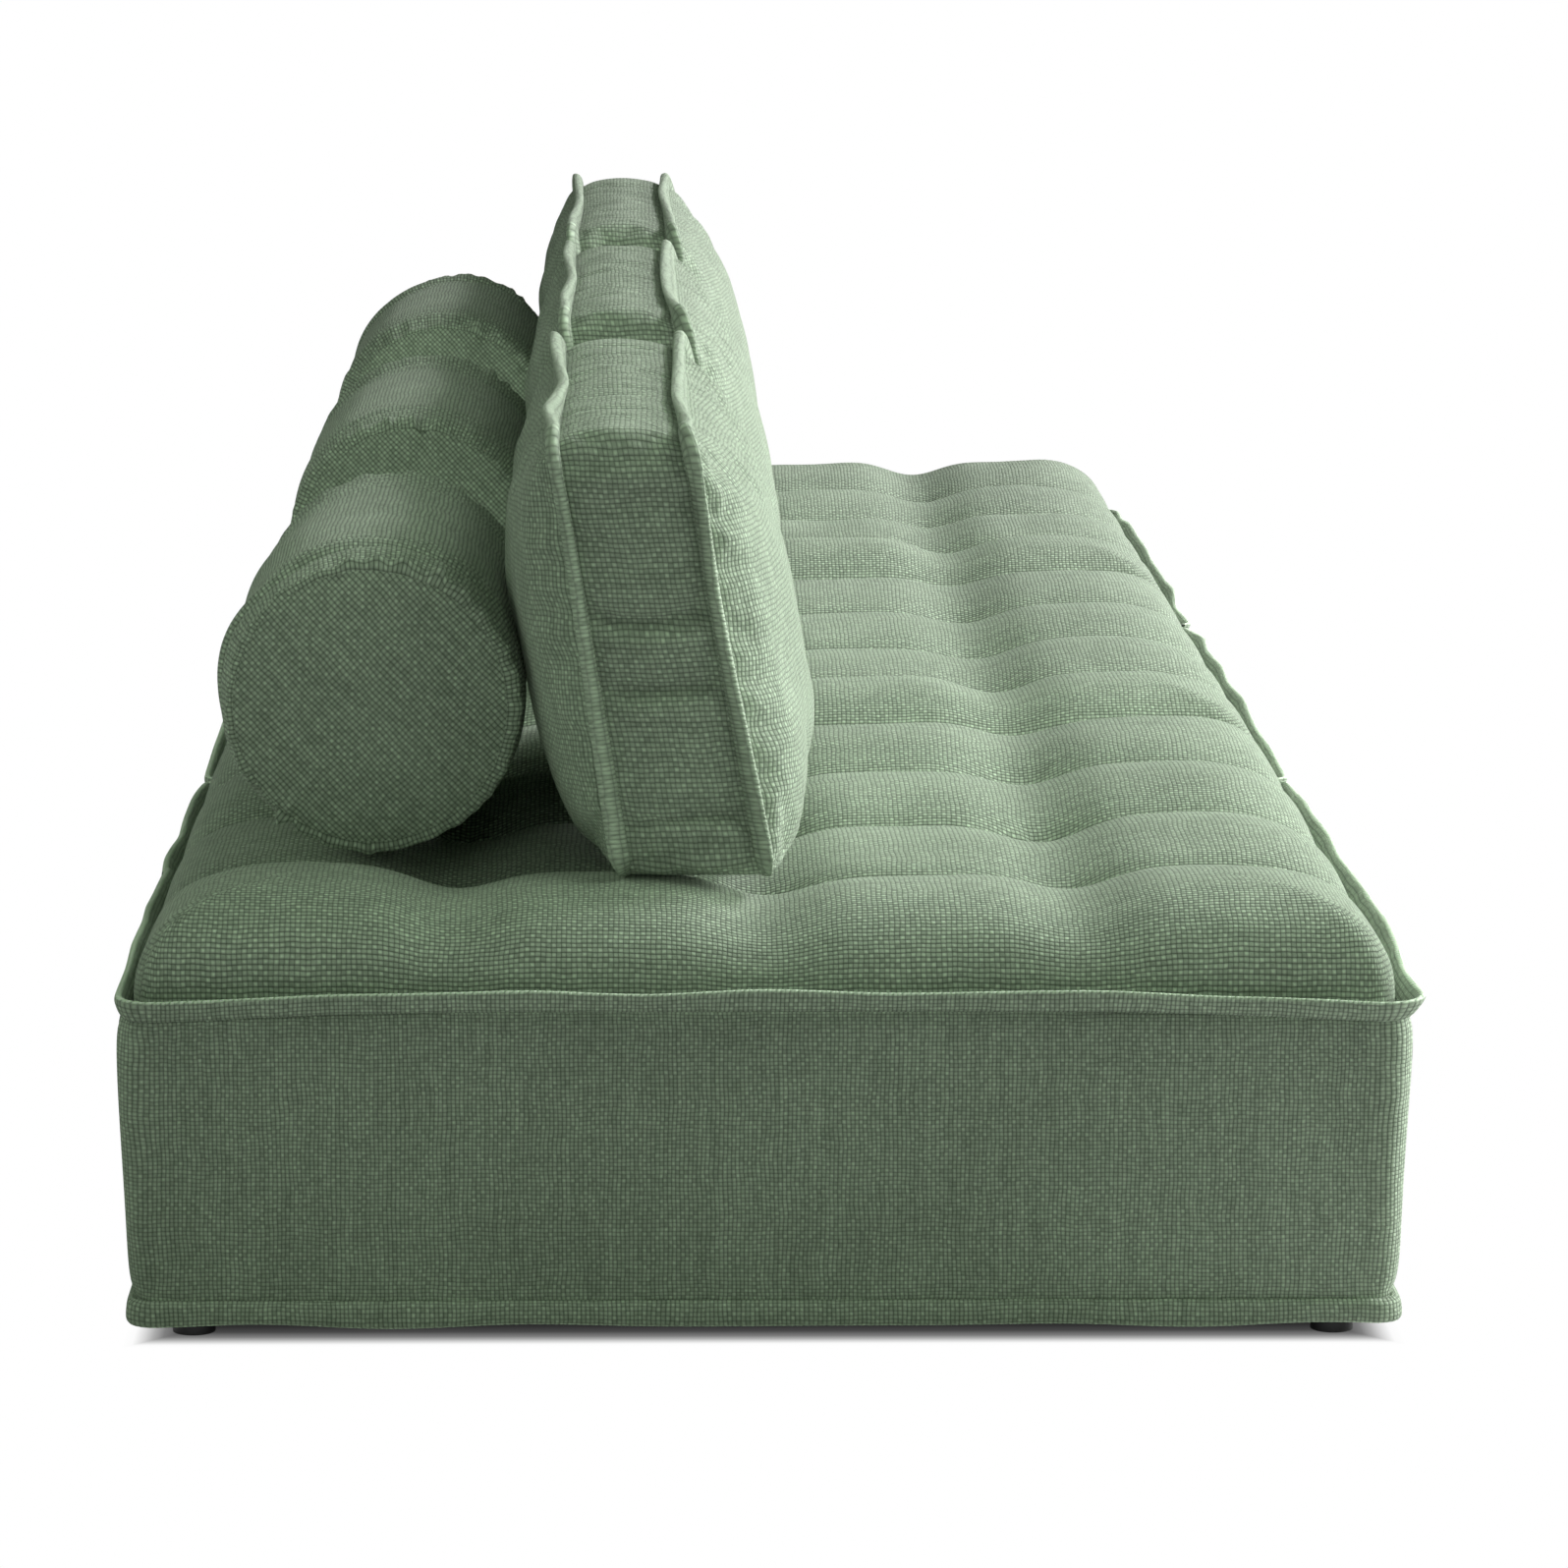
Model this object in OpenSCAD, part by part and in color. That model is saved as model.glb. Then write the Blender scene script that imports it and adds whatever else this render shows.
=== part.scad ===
// Modular sofa: three square upholstered seats in a row, each with a loose back
// cushion and a bolster behind it.
// X runs along the row, -Y is the front edge of the seats, +Z is up.
// The origin is on the floor under the middle of the row.

/* [Seat] */
// Width and depth of one square seat, over its side cover
seat_w = 1000; // [800:10:1200]
// Corner radius of the seat seen from above
seat_corner_r = 25; // [10:1:50]
// Height of the lower seam over the floor
hem_h = 36; // [34:1:60]
// Height of the side cover between its two seams
side_h = 232; // [180:1:320]
// Thickness of the side cover with its wadding
cover_t = 3; // [2:0.5:6]
// Gap between the pressed lips of two seats
seat_gap = 0.5; // [0.3:0.1:2]

/* [Tufted top] */
// Tufted cells along each side of a seat
cells = 4; // [3:1:6]
// Height of the crests over the upper seam
crown_h = 88; // [70:1:120]
// Depth of a tufted dimple below the crests
tuft_h = 45; // [20:1:50]
// Depth of a furrow between two rolls, as a share of a dimple's
furrow_share = 0.6; // [0.3:0.05:0.7]
// Depth of a valley along a roll, as a share of a dimple's
valley_share = 0.2; // [0.1:0.05:0.3]
// How much lower the crown is in the middle than at its front and back
crown_dish = 10; // [0:1:12]
// Upright edge of the pad at its seam
pad_rim_h = 6; // [3:1:10]
// Distance over which the crown rounds down to its seam
crown_edge_w = 118; // [90:1:160]
// Gap between the pad and the lip sewn round it
pad_clear = 0.5; // [0.3:0.1:1]

/* [Sewn lips] */
// How far a free lip stands out from the side cover
lip_reach = 10; // [8:1:16]
// How far a lip stands out where two seats press together
lip_pressed = 5; // [4:1:8]
// Height of a lip from its seam to its folded edge
lip_h = 20; // [14:1:24]
// Thickness of a lip
lip_t = 6; // [4:0.5:8]
// Extra reach of a lip at its corners
lip_ear = 6; // [2:1:10]
// Depth of the waves along a lip
lip_wave = 2; // [1:0.5:3]

/* [Frame] */
// Thickness of the rails
rail_t = 22; // [18:1:30]
// Height of the outer rails
rail_h = 88; // [70:1:110]
// Height of the underside of the frame over the floor
frame_z = 30; // [26:1:34]
// How far the cross rails lie below the outer rails
cross_drop = 25; // [10:1:40]
// Side of a corner block
block_w = 60; // [50:1:90]
// Gap of a glue line between boards
glue_gap = 0.2; // [0.1:0.1:0.5]

/* [Webbing and ties] */
// Width of a webbing strap
strap_w = 80; // [60:1:90]
// Thickness of a webbing strap
strap_t = 1.5; // [1:0.1:2]
// Diameter of a tuft twine
twine_d = 3; // [2:0.5:4]
// Diameter of the toggle under the webbing
toggle_d = 60; // [55:1:70]
// Thickness of a toggle
toggle_t = 3; // [2:0.5:5]
// Diameter of the head at the top of a tie
tie_head_d = 24; // [18:1:30]
// Thickness of the head at the top of a tie
tie_head_t = 4; // [3:0.5:6]
// Gap round a tie in the foam
tie_clear = 0.8; // [0.5:0.1:1.5]
// Thickness of the dust cover
dust_t = 1; // [0.5:0.5:2]
// Width of the dust cover stapled over the rails
dust_lap = 4; // [3:0.5:5]

/* [Feet] */
// Diameter of a foot at the floor
foot_d = 34; // [28:1:40]
// Diameter of a foot at its flange
foot_top_d = 40; // [34:1:44]
// Thickness of a foot's flange
foot_flange_t = 4; // [3:1:6]
// Distance of a foot's centre from the sides of the seat
foot_inset = 46; // [44:1:52]
// Gap round a foot in the dust cover
foot_clear = 1; // [0.5:0.5:2]

/* [Back cushion] */
// Length of a back cushion along its sewn edges
cushion_w = 760; // [600:10:860]
// Height of a back cushion
cushion_h = 350; // [280:5:420]
// Width of the boxing strip
boxing_t = 110; // [80:1:140]
// How far each panel swells past the boxing
cushion_bulge = 60; // [40:1:80]
// Lean of the cushion from upright, in degrees
cushion_lean = 10; // [0:1:15]
// Place of the cushion's foot behind the middle of the seat, as a share of its width
cushion_back_share = 0.054; // [0.02:0.002:0.08]
// Corner radius of the cushion's outline
cushion_corner_r = 20; // [12:1:40]
// How far the ends and top draw in between the corners
cushion_pinch = 8; // [3:1:14]
// Thickness of the boxing fabric with its wadding
boxing_skin_t = 3; // [2:0.5:5]
// Reach of the sewn flange
flange_reach = 10; // [6:1:14]
// Thickness of the sewn flange
flange_t = 5; // [3:0.5:7]
// Extra reach of the flange at its corners
flange_ear = 6; // [2:1:10]
// Depth of the waves along the flange
flange_wave = 2; // [1:0.5:3]

/* [Bolster] */
// Diameter of a bolster at its middle
bolster_d = 250; // [200:5:300]
// Length of a bolster between its end seams
bolster_w = 580; // [440:10:700]
// How much slimmer the radius is at the ends
bolster_taper = 5; // [0:1:10]
// Radius of the shoulder round each end
shoulder_r = 18; // [12:1:28]
// Rise of the domed end discs
disc_rise = 10; // [5:1:16]
// Thickness of the bolster's cover
bolster_skin_t = 3; // [2:0.5:5]
// Gap between a cushion's or bolster's cover and its filling
filling_clear = 0.3; // [0.2:0.1:0.5]

/* [Connectors] */
// Distance of the connectors from the middle of the seat
link_y = 300; // [200:10:360]
// Width of a connector link
link_w = 24; // [20:1:30]
// Thickness of a connector link
link_t = 3; // [2:0.5:4]
// Height of the underside of a link over the floor
link_z = 10.5; // [8:0.5:11]
// Diameter of the pins and pivots
pin_d = 8; // [6:1:10]
// Gap round a pin in its slot or hole
pin_clear = 0.4; // [0.2:0.1:0.6]
// Diameter of a pivot's spacer and head
pivot_d = 15; // [13:1:16]
// Thickness of a pivot's head
pivot_head_t = 3; // [2:0.5:4]
// Gap above and below a link
link_play = 0.3; // [0.2:0.1:0.5]
// Length of a pin below its link
pin_over = 1.5; // [1:0.5:3]

/* [Hidden] */
// Smallest gap between two soft pieces that lean on each other
soft_gap = 0.3;
// Overrun of every cut
cut_over = 1;
$fn = 72;

sides = ["left", "middle", "right"];
front_back = ["front", "back"];
seat_parts = [
    "seat_pad", "seat_foam", "side_cover", "top_lip", "bottom_lip", "frame", "webbing",
    "feet", "dust_cover", "tuft_ties", "cushion_boxing", "cushion_panels",
    "cushion_flanges", "cushion_core", "bolster_cover", "bolster_ends", "bolster_core"
];
link_names = [for (s = [0, 2], e = front_back) str(sides[s], "_", e, "_link")];
pin_names = [for (s = [0, 2]) str(sides[s], "_connector_pins")];

seat_half = seat_w / 2;
cushion_y = cushion_back_share * seat_w;
seat_pitch = seat_w + 2 * lip_pressed + seat_gap;
seam_z = hem_h + side_h;
inner_half = seat_half - cover_t;
pad_half = inner_half - pad_clear;
crest_z = seam_z + crown_h;
cell_share = 2 / cells;

// Shares of a cell at which the pad has its lines: an edge cell and an inner cell
edge_cell_shares = [0, 0.02, 0.07, 0.17, 0.33, 0.5, 0.75, 1];
inner_cell_shares = [0, 0.25, 0.5, 0.75];
// Roundness of the crown's edge, of the rolls and of the valleys
edge_power_share = 2.4;
roll_power_share = 2.3;
valley_power_share = 1.3;
// How fast the rounded corner fades towards the middle of a pad or panel
corner_pull_share = 6;

rail_in = inner_half - rail_t;
rail_top = frame_z + rail_h;
foam_z = rail_top + 2 * strap_t;
foot_at = seat_half - foot_inset;

// Colours of the pieces
fabric_green = "#8f9e88";
fabric_shade = "#7f8f79";
foam_cream = "#e9dfb8";
timber_tan = "#c8a873";
jute_brown = "#a58a5f";
steel_grey = "#9a9da1";
plastic_black = "#1f1f21";

// Place of a seat's centre along the row
function seat_x(i) = (i - 1) * seat_pitch;
// A point of a plane turned about its origin
function turned(p, a) = [p.x * cos(a) - p.y * sin(a), p.x * sin(a) + p.y * cos(a)];
function mixed(a, b, share) = a + (b - a) * share;
// A point of a grid of shares, -1 to 1 each way, in a rectangle with rounded corners
function rounded_point(u, v, half_x, half_y, r) =
    let (
        m = max(abs(u), abs(v)),
        rr = r * pow(m, corner_pull_share),
        q = [abs(u) * half_x - m * half_x + rr, abs(v) * half_y - m * half_y + rr]
    )
    q.x > 0 && q.y > 0
        ? [sign(u) * (m * half_x - rr + q.x * rr / norm(q)),
           sign(v) * (m * half_y - rr + q.y * rr / norm(q))]
        : [u * half_x, v * half_y];

// Faces of a grid of points with rows of n, and of a band between two closed rings
function quad(a, b, c, d) = [[a, b, c], [a, c, d]];
function grid_faces(rows, n) = [
    for (j = [0 : rows - 2], i = [0 : n - 2])
        each quad(j * n + i, (j + 1) * n + i, (j + 1) * n + i + 1, j * n + i + 1)
];
// Indices round the border of a grid
function border(rows, n) = concat(
    [for (i = [0 : n - 2]) i],
    [for (j = [0 : rows - 2]) j * n + n - 1],
    [for (i = [n - 1 : -1 : 1]) (rows - 1) * n + i],
    [for (j = [rows - 1 : -1 : 1]) j * n]
);
// Faces that join ring a to ring b, both lists of indices
function band_faces(a, b) = [
    for (k = [0 : len(a) - 1])
        let (n = (k + 1) % len(a))
            each quad(a[k], a[n], b[n], b[k])
];
function fan_faces(ring, centre) = [
    for (k = [0 : len(ring) - 1]) [ring[k], ring[(k + 1) % len(ring)], centre]
];
// Faces of a tube of `count` closed sections of `n` points each
function loop_faces(count, n) = [
    for (k = [0 : count - 1], i = [0 : n - 1])
        let (k2 = (k + 1) % count, i2 = (i + 1) % n)
            each quad(k * n + i, k * n + i2, k2 * n + i2, k2 * n + i)
];

// Height of the tufted pad at a share of its half width from the middle each way.
// Furrows part the rolls, which run from front to back; valleys cross them
function cell_phase(u) =
    abs(u) >= 1 - cell_share / 2
        ? 0
        : let (c = (u + 1) / cell_share) 2 * (c - floor(c)) - 1;
function edge_rise(u, v) =
    let (d = pad_half * (1 - max(abs(u), abs(v))), w = 1 - min(1, d / crown_edge_w))
        pow(1 - pow(w, edge_power_share), 1 / edge_power_share);
function tuft_drop(u, v) =
    let (
        furrow = 1 - sqrt(max(0, 1 - pow(abs(cell_phase(u)), roll_power_share))),
        valley = pow((1 - cos(180 * cell_phase(v))) / 2, valley_power_share)
    )
    tuft_h * (furrow_share * furrow + valley_share * valley
              + (1 - furrow_share - valley_share) * furrow * valley);
function dish_drop(v) =
    crown_dish * cos(90 * min(1, abs(v) / (1 - cell_share / 2)));
function pad_z(u, v) =
    seam_z + pad_rim_h
    + edge_rise(u, v) * (crown_h - pad_rim_h - dish_drop(v) - tuft_drop(u, v));

pad_lines = concat(
    [for (i = [0 : len(edge_cell_shares) - 2]) cell_share * edge_cell_shares[i] - 1],
    [for (c = [1 : cells - 2], s = inner_cell_shares) cell_share * (c + s) - 1],
    [for (i = [len(edge_cell_shares) - 1 : -1 : 0]) 1 - cell_share * edge_cell_shares[i]]
);
// The pad from front to back along the crest of a roll
crest_share = cells % 2 == 0 ? cell_share / 2 : 0;
pad_ridge = [for (v = pad_lines) [v * pad_half, pad_z(crest_share, v)]];
// Shares of the half width at which the tufts are tied
tie_shares = [for (c = [1 : cells - 1]) cell_share * c - 1];

module rounded_square(half, r) {
    square([2 * half, 2 * (half - r)], center = true);
    square([2 * (half - r), 2 * half], center = true);
    for (x = [-1, 1], y = [-1, 1])
        translate([x * (half - r), y * (half - r)]) circle(r = r);
}

module seat_pad(i) {
    n = len(pad_lines);
    ring = border(n, n);
    top = [
        for (v = pad_lines, u = pad_lines)
            let (p = rounded_point(u, v, pad_half, pad_half, seat_corner_r - cover_t))
                [p.x, p.y, pad_z(u, v)]
    ];
    foot = [for (k = ring) [top[k].x, top[k].y, seam_z]];
    low = [for (k = [0 : len(ring) - 1]) n * n + k];
    color(fabric_green)
        translate([seat_x(i), 0, 0])
            polyhedron(
                points = concat(top, foot, [[0, 0, seam_z]]),
                faces = concat(
                    grid_faces(n, n),
                    band_faces(ring, low),
                    fan_faces(low, n * n + len(ring))
                )
            );
}

module seat_foam(i) {
    head_bore_d = tie_head_d + 2 * tie_clear;
    color(foam_cream)
        translate([seat_x(i), 0, foam_z])
            difference() {
                linear_extrude(seam_z - foam_z)
                    rounded_square(inner_half, seat_corner_r - cover_t);
                for (u = tie_shares, v = tie_shares)
                    translate([u * pad_half, v * pad_half, 0]) {
                        translate([0, 0, -cut_over])
                            cylinder(h = seam_z - foam_z, d = twine_d + 2 * tie_clear);
                        translate([0, 0, seam_z - foam_z - tie_head_t])
                            cylinder(h = tie_head_t + cut_over, d = head_bore_d);
                    }
            }
}

module side_cover(i) {
    color(fabric_shade)
        translate([seat_x(i), 0, hem_h])
            linear_extrude(side_h)
                difference() {
                    rounded_square(seat_half, seat_corner_r);
                    rounded_square(inner_half, seat_corner_r - cover_t);
                }
}

// Stations of a lip round the seat: place, outward direction and corner share
lip_side_steps = 11;
lip_corner_steps = 3;
lip_stations = [
    for (q = [0 : 3])
        each concat(
            [for (k = [0 : lip_side_steps - 1])
                let (run = 2 * (seat_half - seat_corner_r))
                    [turned([seat_half, run * (k / lip_side_steps) - run / 2], 90 * q),
                     turned([1, 0], 90 * q), 0]],
            [for (k = [0 : lip_corner_steps - 1])
                let (
                    a = 90 * k / lip_corner_steps,
                    c = seat_half - seat_corner_r
                )
                    [turned([c + seat_corner_r * cos(a), c + seat_corner_r * sin(a)], 90 * q),
                     turned([cos(a), sin(a)], 90 * q), sin(2 * a)]]
        )
];
// Room from a place along a direction up to a wall at a distance from the middle
function room_to(place, direction, wall) =
    direction > 0 ? (wall - place) / max(direction, 1 / seat_w) : lip_reach + lip_ear;
function lip_room(i, p, d) = min(
    room_to(p.x, d.x, seat_half + (i < 2 ? lip_pressed : lip_reach)),
    room_to(-p.x, -d.x, seat_half + (i > 0 ? lip_pressed : lip_reach)),
    room_to(abs(p.y), abs(d.y), seat_half + lip_reach)
);
// A steady, uneven wave between 0 and 1 for station k
function wave(k) = (1 + sin(k * 137)) / 2;
function lip_section(i, k) =
    let (
        s = lip_stations[k],
        reach = min(lip_reach + lip_ear * s[2], lip_room(i, s[0], s[1])),
        tip = reach - lip_wave * wave(k),
        top = lip_h - lip_wave * wave(k + 1) / 2,
        outline = [
            [-cover_t, 0],
            [0, 0],
            [tip * 0.8, top * 0.35],
            [tip, top],
            [tip - lip_t, top],
            [mixed(-cover_t, tip - lip_t, 0.45), top * 0.45]
        ]
    )
    [for (o = outline) [s[0].x + s[1].x * o.x, s[0].y + s[1].y * o.x, o.y]];

module lip(i) {
    count = len(lip_stations);
    sections = [for (k = [0 : count - 1]) each lip_section(i, k)];
    polyhedron(points = sections, faces = loop_faces(count, len(sections) / count));
}

module top_lip(i) {
    color(fabric_green) translate([seat_x(i), 0, seam_z]) lip(i);
}

module bottom_lip(i) {
    color(fabric_shade) translate([seat_x(i), 0, hem_h]) mirror([0, 0, 1]) lip(i);
}

module frame(i) {
    reach = rail_in - glue_gap;
    color(timber_tan)
        translate([seat_x(i), 0, frame_z]) {
            // Front and back rails, rounded clear of the lips at the seat's corners
            linear_extrude(rail_h)
                difference() {
                    rounded_square(inner_half, seat_corner_r + cover_t);
                    square([2 * seat_w, 2 * rail_in], center = true);
                }
            // Side rails between them
            for (x = [-1, 1])
                translate([x * (rail_in + rail_t / 2), 0, rail_h / 2])
                    cube([rail_t, 2 * reach, rail_h], center = true);
            // Cross rails, set low so that the webbing can sink
            for (y = [-1, 1])
                translate([0, y * pad_half * cell_share / 2, (rail_h - cross_drop) / 2])
                    cube([2 * reach, rail_t, rail_h - cross_drop], center = true);
            for (x = [-1, 1], y = [-1, 1])
                translate([x * (reach - block_w / 2), y * (reach - block_w / 2), rail_h / 4])
                    cube([block_w, block_w, rail_h / 2], center = true);
        }
}

module webbing(i) {
    lines = [for (k = [0 : 2 * cells - 1]) (k + 0.5) * cell_share / 2 - 1];
    color(jute_brown)
        translate([seat_x(i), 0, rail_top])
            for (u = lines) {
                translate([u * pad_half, 0, strap_t / 2])
                    cube([strap_w, 2 * inner_half - rail_t, strap_t], center = true);
                translate([0, u * pad_half, strap_t * 3 / 2])
                    cube([2 * inner_half - rail_t, strap_w, strap_t], center = true);
            }
}

module foot() {
    cylinder(h = frame_z - foot_flange_t, d = foot_d);
    translate([0, 0, frame_z - foot_flange_t])
        cylinder(h = foot_flange_t, d = foot_top_d);
}

module feet(i) {
    color(plastic_black)
        for (x = [-1, 1], y = [-1, 1])
            translate([seat_x(i) + x * foot_at, y * foot_at, 0]) foot();
}

module dust_cover(i) {
    half = rail_in + dust_lap;
    color(plastic_black)
        translate([seat_x(i), 0, frame_z - dust_t])
            difference() {
                linear_extrude(dust_t) square(2 * half, center = true);
                for (x = [-1, 1], y = [-1, 1])
                    translate([x * foot_at, y * foot_at, -cut_over])
                        cylinder(h = dust_t + 2 * cut_over, d = foot_top_d + 2 * foot_clear);
            }
}

module tuft_tie() {
    translate([0, 0, rail_top - toggle_t]) cylinder(h = toggle_t, d = toggle_d);
    translate([0, 0, rail_top - toggle_t])
        cylinder(h = seam_z - rail_top + toggle_t - tie_head_t, d = twine_d);
    translate([0, 0, seam_z - tie_head_t]) cylinder(h = tie_head_t, d = tie_head_d);
}

module tuft_ties(i) {
    color(jute_brown)
        for (u = tie_shares, v = tie_shares)
            translate([seat_x(i) + u * pad_half, v * pad_half, 0]) tuft_tie();
}

// The back cushion: shares along its length and height at which it has its lines
cushion_x_shares = [0, 0.015, 0.06, 0.14, 0.25, 0.37, 0.5, 0.63, 0.75, 0.86, 0.94, 0.985, 1];
cushion_h_shares = [0, 0.03, 0.11, 0.26, 0.5, 0.74, 0.89, 0.97, 1];
bulge_edge_share = 2.6;
bulge_power_share = 0.4;
// How much fuller the cushion is at its foot than at its top
sag_share = 0.08;
// The cushion stands on the highest crest under its foot
foot_reach = boxing_t / 2 + flange_reach;
foot_ridge = concat(
    [for (side = [-1, 1]) lookup(cushion_y + side * foot_reach, pad_ridge)],
    [for (p = pad_ridge) if (abs(p.x - cushion_y) < foot_reach) p.y]
);
cushion_z = max(foot_ridge) + soft_gap + flange_t - 1;

// A place on the cushion's outline plane, along x and up, from shares -1 to 1
function cushion_plan(u, v) =
    let (p = rounded_point(u, v, cushion_w / 2, cushion_h / 2, cushion_corner_r))
        [p.x - sign(u) * cushion_pinch * (1 - v * v) * abs(u),
         cushion_h / 2 + p.y - max(v, 0) * cushion_pinch * (1 - u * u)];
// The same place in space: t across the thickness, leaning back with height
function cushion_at(i, p, t) =
    [seat_x(i) + p.x, cushion_y + p.y * tan(cushion_lean) + t, cushion_z + p.y];
function swell(u, v) =
    let (w = (1 - pow(abs(u), bulge_edge_share)) * (1 - pow(abs(v), bulge_edge_share)))
        cushion_bulge * pow(w, bulge_power_share) * (1 - sag_share * v);
cushion_u = [for (s = cushion_x_shares) 2 * s - 1];
cushion_v = [for (s = cushion_h_shares) 2 * s - 1];
cushion_border = border(len(cushion_v), len(cushion_u));
cushion_grid = [for (v = cushion_v, u = cushion_u) [u, v]];
cushion_outline = [for (k = cushion_border) cushion_plan(cushion_grid[k].x, cushion_grid[k].y)];
cushion_count = len(cushion_outline);
// Outward directions of the outline, and how far each station lies on the bottom edge
cushion_normals = [
    for (k = [0 : cushion_count - 1])
        let (
            a = cushion_outline[(k + cushion_count - 1) % cushion_count],
            b = cushion_outline[(k + 1) % cushion_count],
            d = (b - a) / norm(b - a)
        )
            [d.y, -d.x]
];
function drawn_in(k, distance) = cushion_outline[k] - cushion_normals[k] * distance;

// Faces of a front piece and, after its n points, of the same piece turned to the back
function flipped(faces, n) = [for (f = faces) [f[0] + n, f[2] + n, f[1] + n]];
function front_and_back(faces, n) = concat(faces, flipped(faces, n));

module cushion_panels(i) {
    nu = len(cushion_u);
    nv = len(cushion_v);
    faces = concat(fan_faces(cushion_border, nu * nv), grid_faces(nv, nu));
    color(fabric_green)
        polyhedron(
            points = [
                for (side = [-1, 1])
                    each concat(
                        [for (g = cushion_grid)
                            cushion_at(i, cushion_plan(g.x, g.y),
                                side * (boxing_t / 2 + swell(g.x, g.y)))],
                        [cushion_at(i, [0, cushion_h / 2], side * boxing_t / 2)]
                    )
            ],
            faces = front_and_back(faces, nu * nv + 1)
        );
}

module cushion_boxing(i) {
    color(fabric_shade)
        polyhedron(
            points = [
                for (k = [0 : cushion_count - 1])
                    each [
                        cushion_at(i, drawn_in(k, boxing_skin_t), -boxing_t / 2),
                        cushion_at(i, drawn_in(k, boxing_skin_t), boxing_t / 2),
                        cushion_at(i, cushion_outline[k], boxing_t / 2),
                        cushion_at(i, cushion_outline[k], -boxing_t / 2)
                    ]
            ],
            faces = loop_faces(cushion_count, 4)
        );
}

module cushion_core(i) {
    reach = boxing_t / 2 - filling_clear;
    front = [for (k = [0 : cushion_count - 1]) 2 * k];
    back = [for (k = [0 : cushion_count - 1]) 2 * k + 1];
    color(foam_cream)
        polyhedron(
            points = concat(
                [for (k = [0 : cushion_count - 1], side = [-1, 1])
                    cushion_at(i, drawn_in(k, boxing_skin_t), side * reach)],
                [for (side = [-1, 1]) cushion_at(i, [0, cushion_h / 2], side * reach)]
            ),
            faces = concat(
                band_faces(front, back),
                flipped(fan_faces(front, 2 * cushion_count), 0),
                fan_faces(back, 2 * cushion_count + 1)
            )
        );
}

// The flange stands out of the outline, and lies flat on the seat along the bottom
function flange_points(i, side) =
    [
        for (k = [0 : cushion_count - 1])
            let (
                n = cushion_normals[k],
                down = max(0, -n.y),
                corner = abs(2 * n.x * n.y),
                reach = flange_reach + flange_ear * corner,
                shift = flange_wave * (2 * wave(k) - 1) * (1 - down),
                tip = mixed(reach, soft_gap, down),
                under = mixed(reach, flange_t - 1, down),
                out = boxing_t / 2 + mixed(shift, flange_reach, down),
                profile = [
                    [boxing_t / 2 - flange_t, 0],
                    [boxing_t / 2, 0],
                    [out, tip],
                    [out - mixed(flange_t, 1, down), under]
                ]
            )
                each [for (q = profile) cushion_at(i, drawn_in(k, -q.y), side * q.x)]
    ];

module cushion_flanges(i) {
    faces = loop_faces(cushion_count, 4);
    color(fabric_green)
        polyhedron(
            points = concat(flange_points(i, -1), flange_points(i, 1)),
            faces = front_and_back(flipped(faces, 0), 4 * cushion_count)
        );
}

// The bolster lies on the crests and leans on the back cushion
bolster_r = bolster_d / 2;
lean_samples = 24;
// The middle of the cushion's back, from its foot up
cushion_ridge = [for (v = cushion_v)
    [cushion_plan(0, v).y, boxing_t / 2 + swell(0, v)]];
// Height of its axis over the pad when the axis is at y
function resting_z(y) = max([
    for (k = [-lean_samples : lean_samples])
        let (d = bolster_r * k / lean_samples)
            lookup(y + d, pad_ridge) + sqrt(bolster_r * bolster_r - d * d)
]) + soft_gap;
// Place of its axis behind the cushion when the axis is at height z
function leaning_y(z) = max([
    for (k = [-lean_samples : lean_samples])
        let (
            d = bolster_r * k / lean_samples,
            h = min(max(z + d - cushion_z, 0), cushion_h)
        )
            cushion_y + h * tan(cushion_lean) + lookup(h, cushion_ridge)
            + sqrt(bolster_r * bolster_r - d * d)
]) + soft_gap;
bolster_y = leaning_y(resting_z(leaning_y(crest_z + bolster_r)));
bolster_z = resting_z(bolster_y);

// Half outline of the bolster from seam to seam, drawn in by a distance
shoulder_steps = 5;
barrel_steps = 4;
function barrel_radius(share) = bolster_r - bolster_taper * share * share;
function bolster_outline(inset) =
    let (
        c_r = barrel_radius(1) - shoulder_r,
        c_x = bolster_w / 2 - shoulder_r,
        r = shoulder_r - inset,
        half = concat(
            [for (k = [0 : shoulder_steps - 1])
                let (a = 90 * (1 - k / shoulder_steps))
                    [c_r + r * cos(a), c_x + r * sin(a)]],
            [for (k = [barrel_steps : -1 : 0])
                [barrel_radius(k / barrel_steps) - inset, c_x * (k / barrel_steps)]]
        )
    )
    concat(half, [for (k = [len(half) - 2 : -1 : 0]) [half[k].x, -half[k].y]]);

module on_bolster_axis(i) {
    translate([seat_x(i), bolster_y, bolster_z]) rotate([0, 90, 0]) children();
}

module bolster_cover(i) {
    inner = bolster_outline(bolster_skin_t);
    color(fabric_shade)
        on_bolster_axis(i)
            rotate_extrude()
                polygon(concat(
                    bolster_outline(0),
                    [for (k = [len(inner) - 1 : -1 : 0]) inner[k]]
                ));
}

module bolster_ends(i) {
    rim_r = barrel_radius(1) - shoulder_r - filling_clear;
    inner_x = bolster_w / 2 - bolster_skin_t;
    dome = [for (k = [0 : shoulder_steps])
        let (s = 1 - k / shoulder_steps)
            [rim_r * s, bolster_w / 2 + disc_rise * (1 - s * s)]];
    color(fabric_green)
        on_bolster_axis(i)
            for (end = [0, 1])
                mirror([0, 0, end])
                    rotate_extrude()
                        polygon(concat([[0, inner_x], [rim_r, inner_x]], dome));
}

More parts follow.
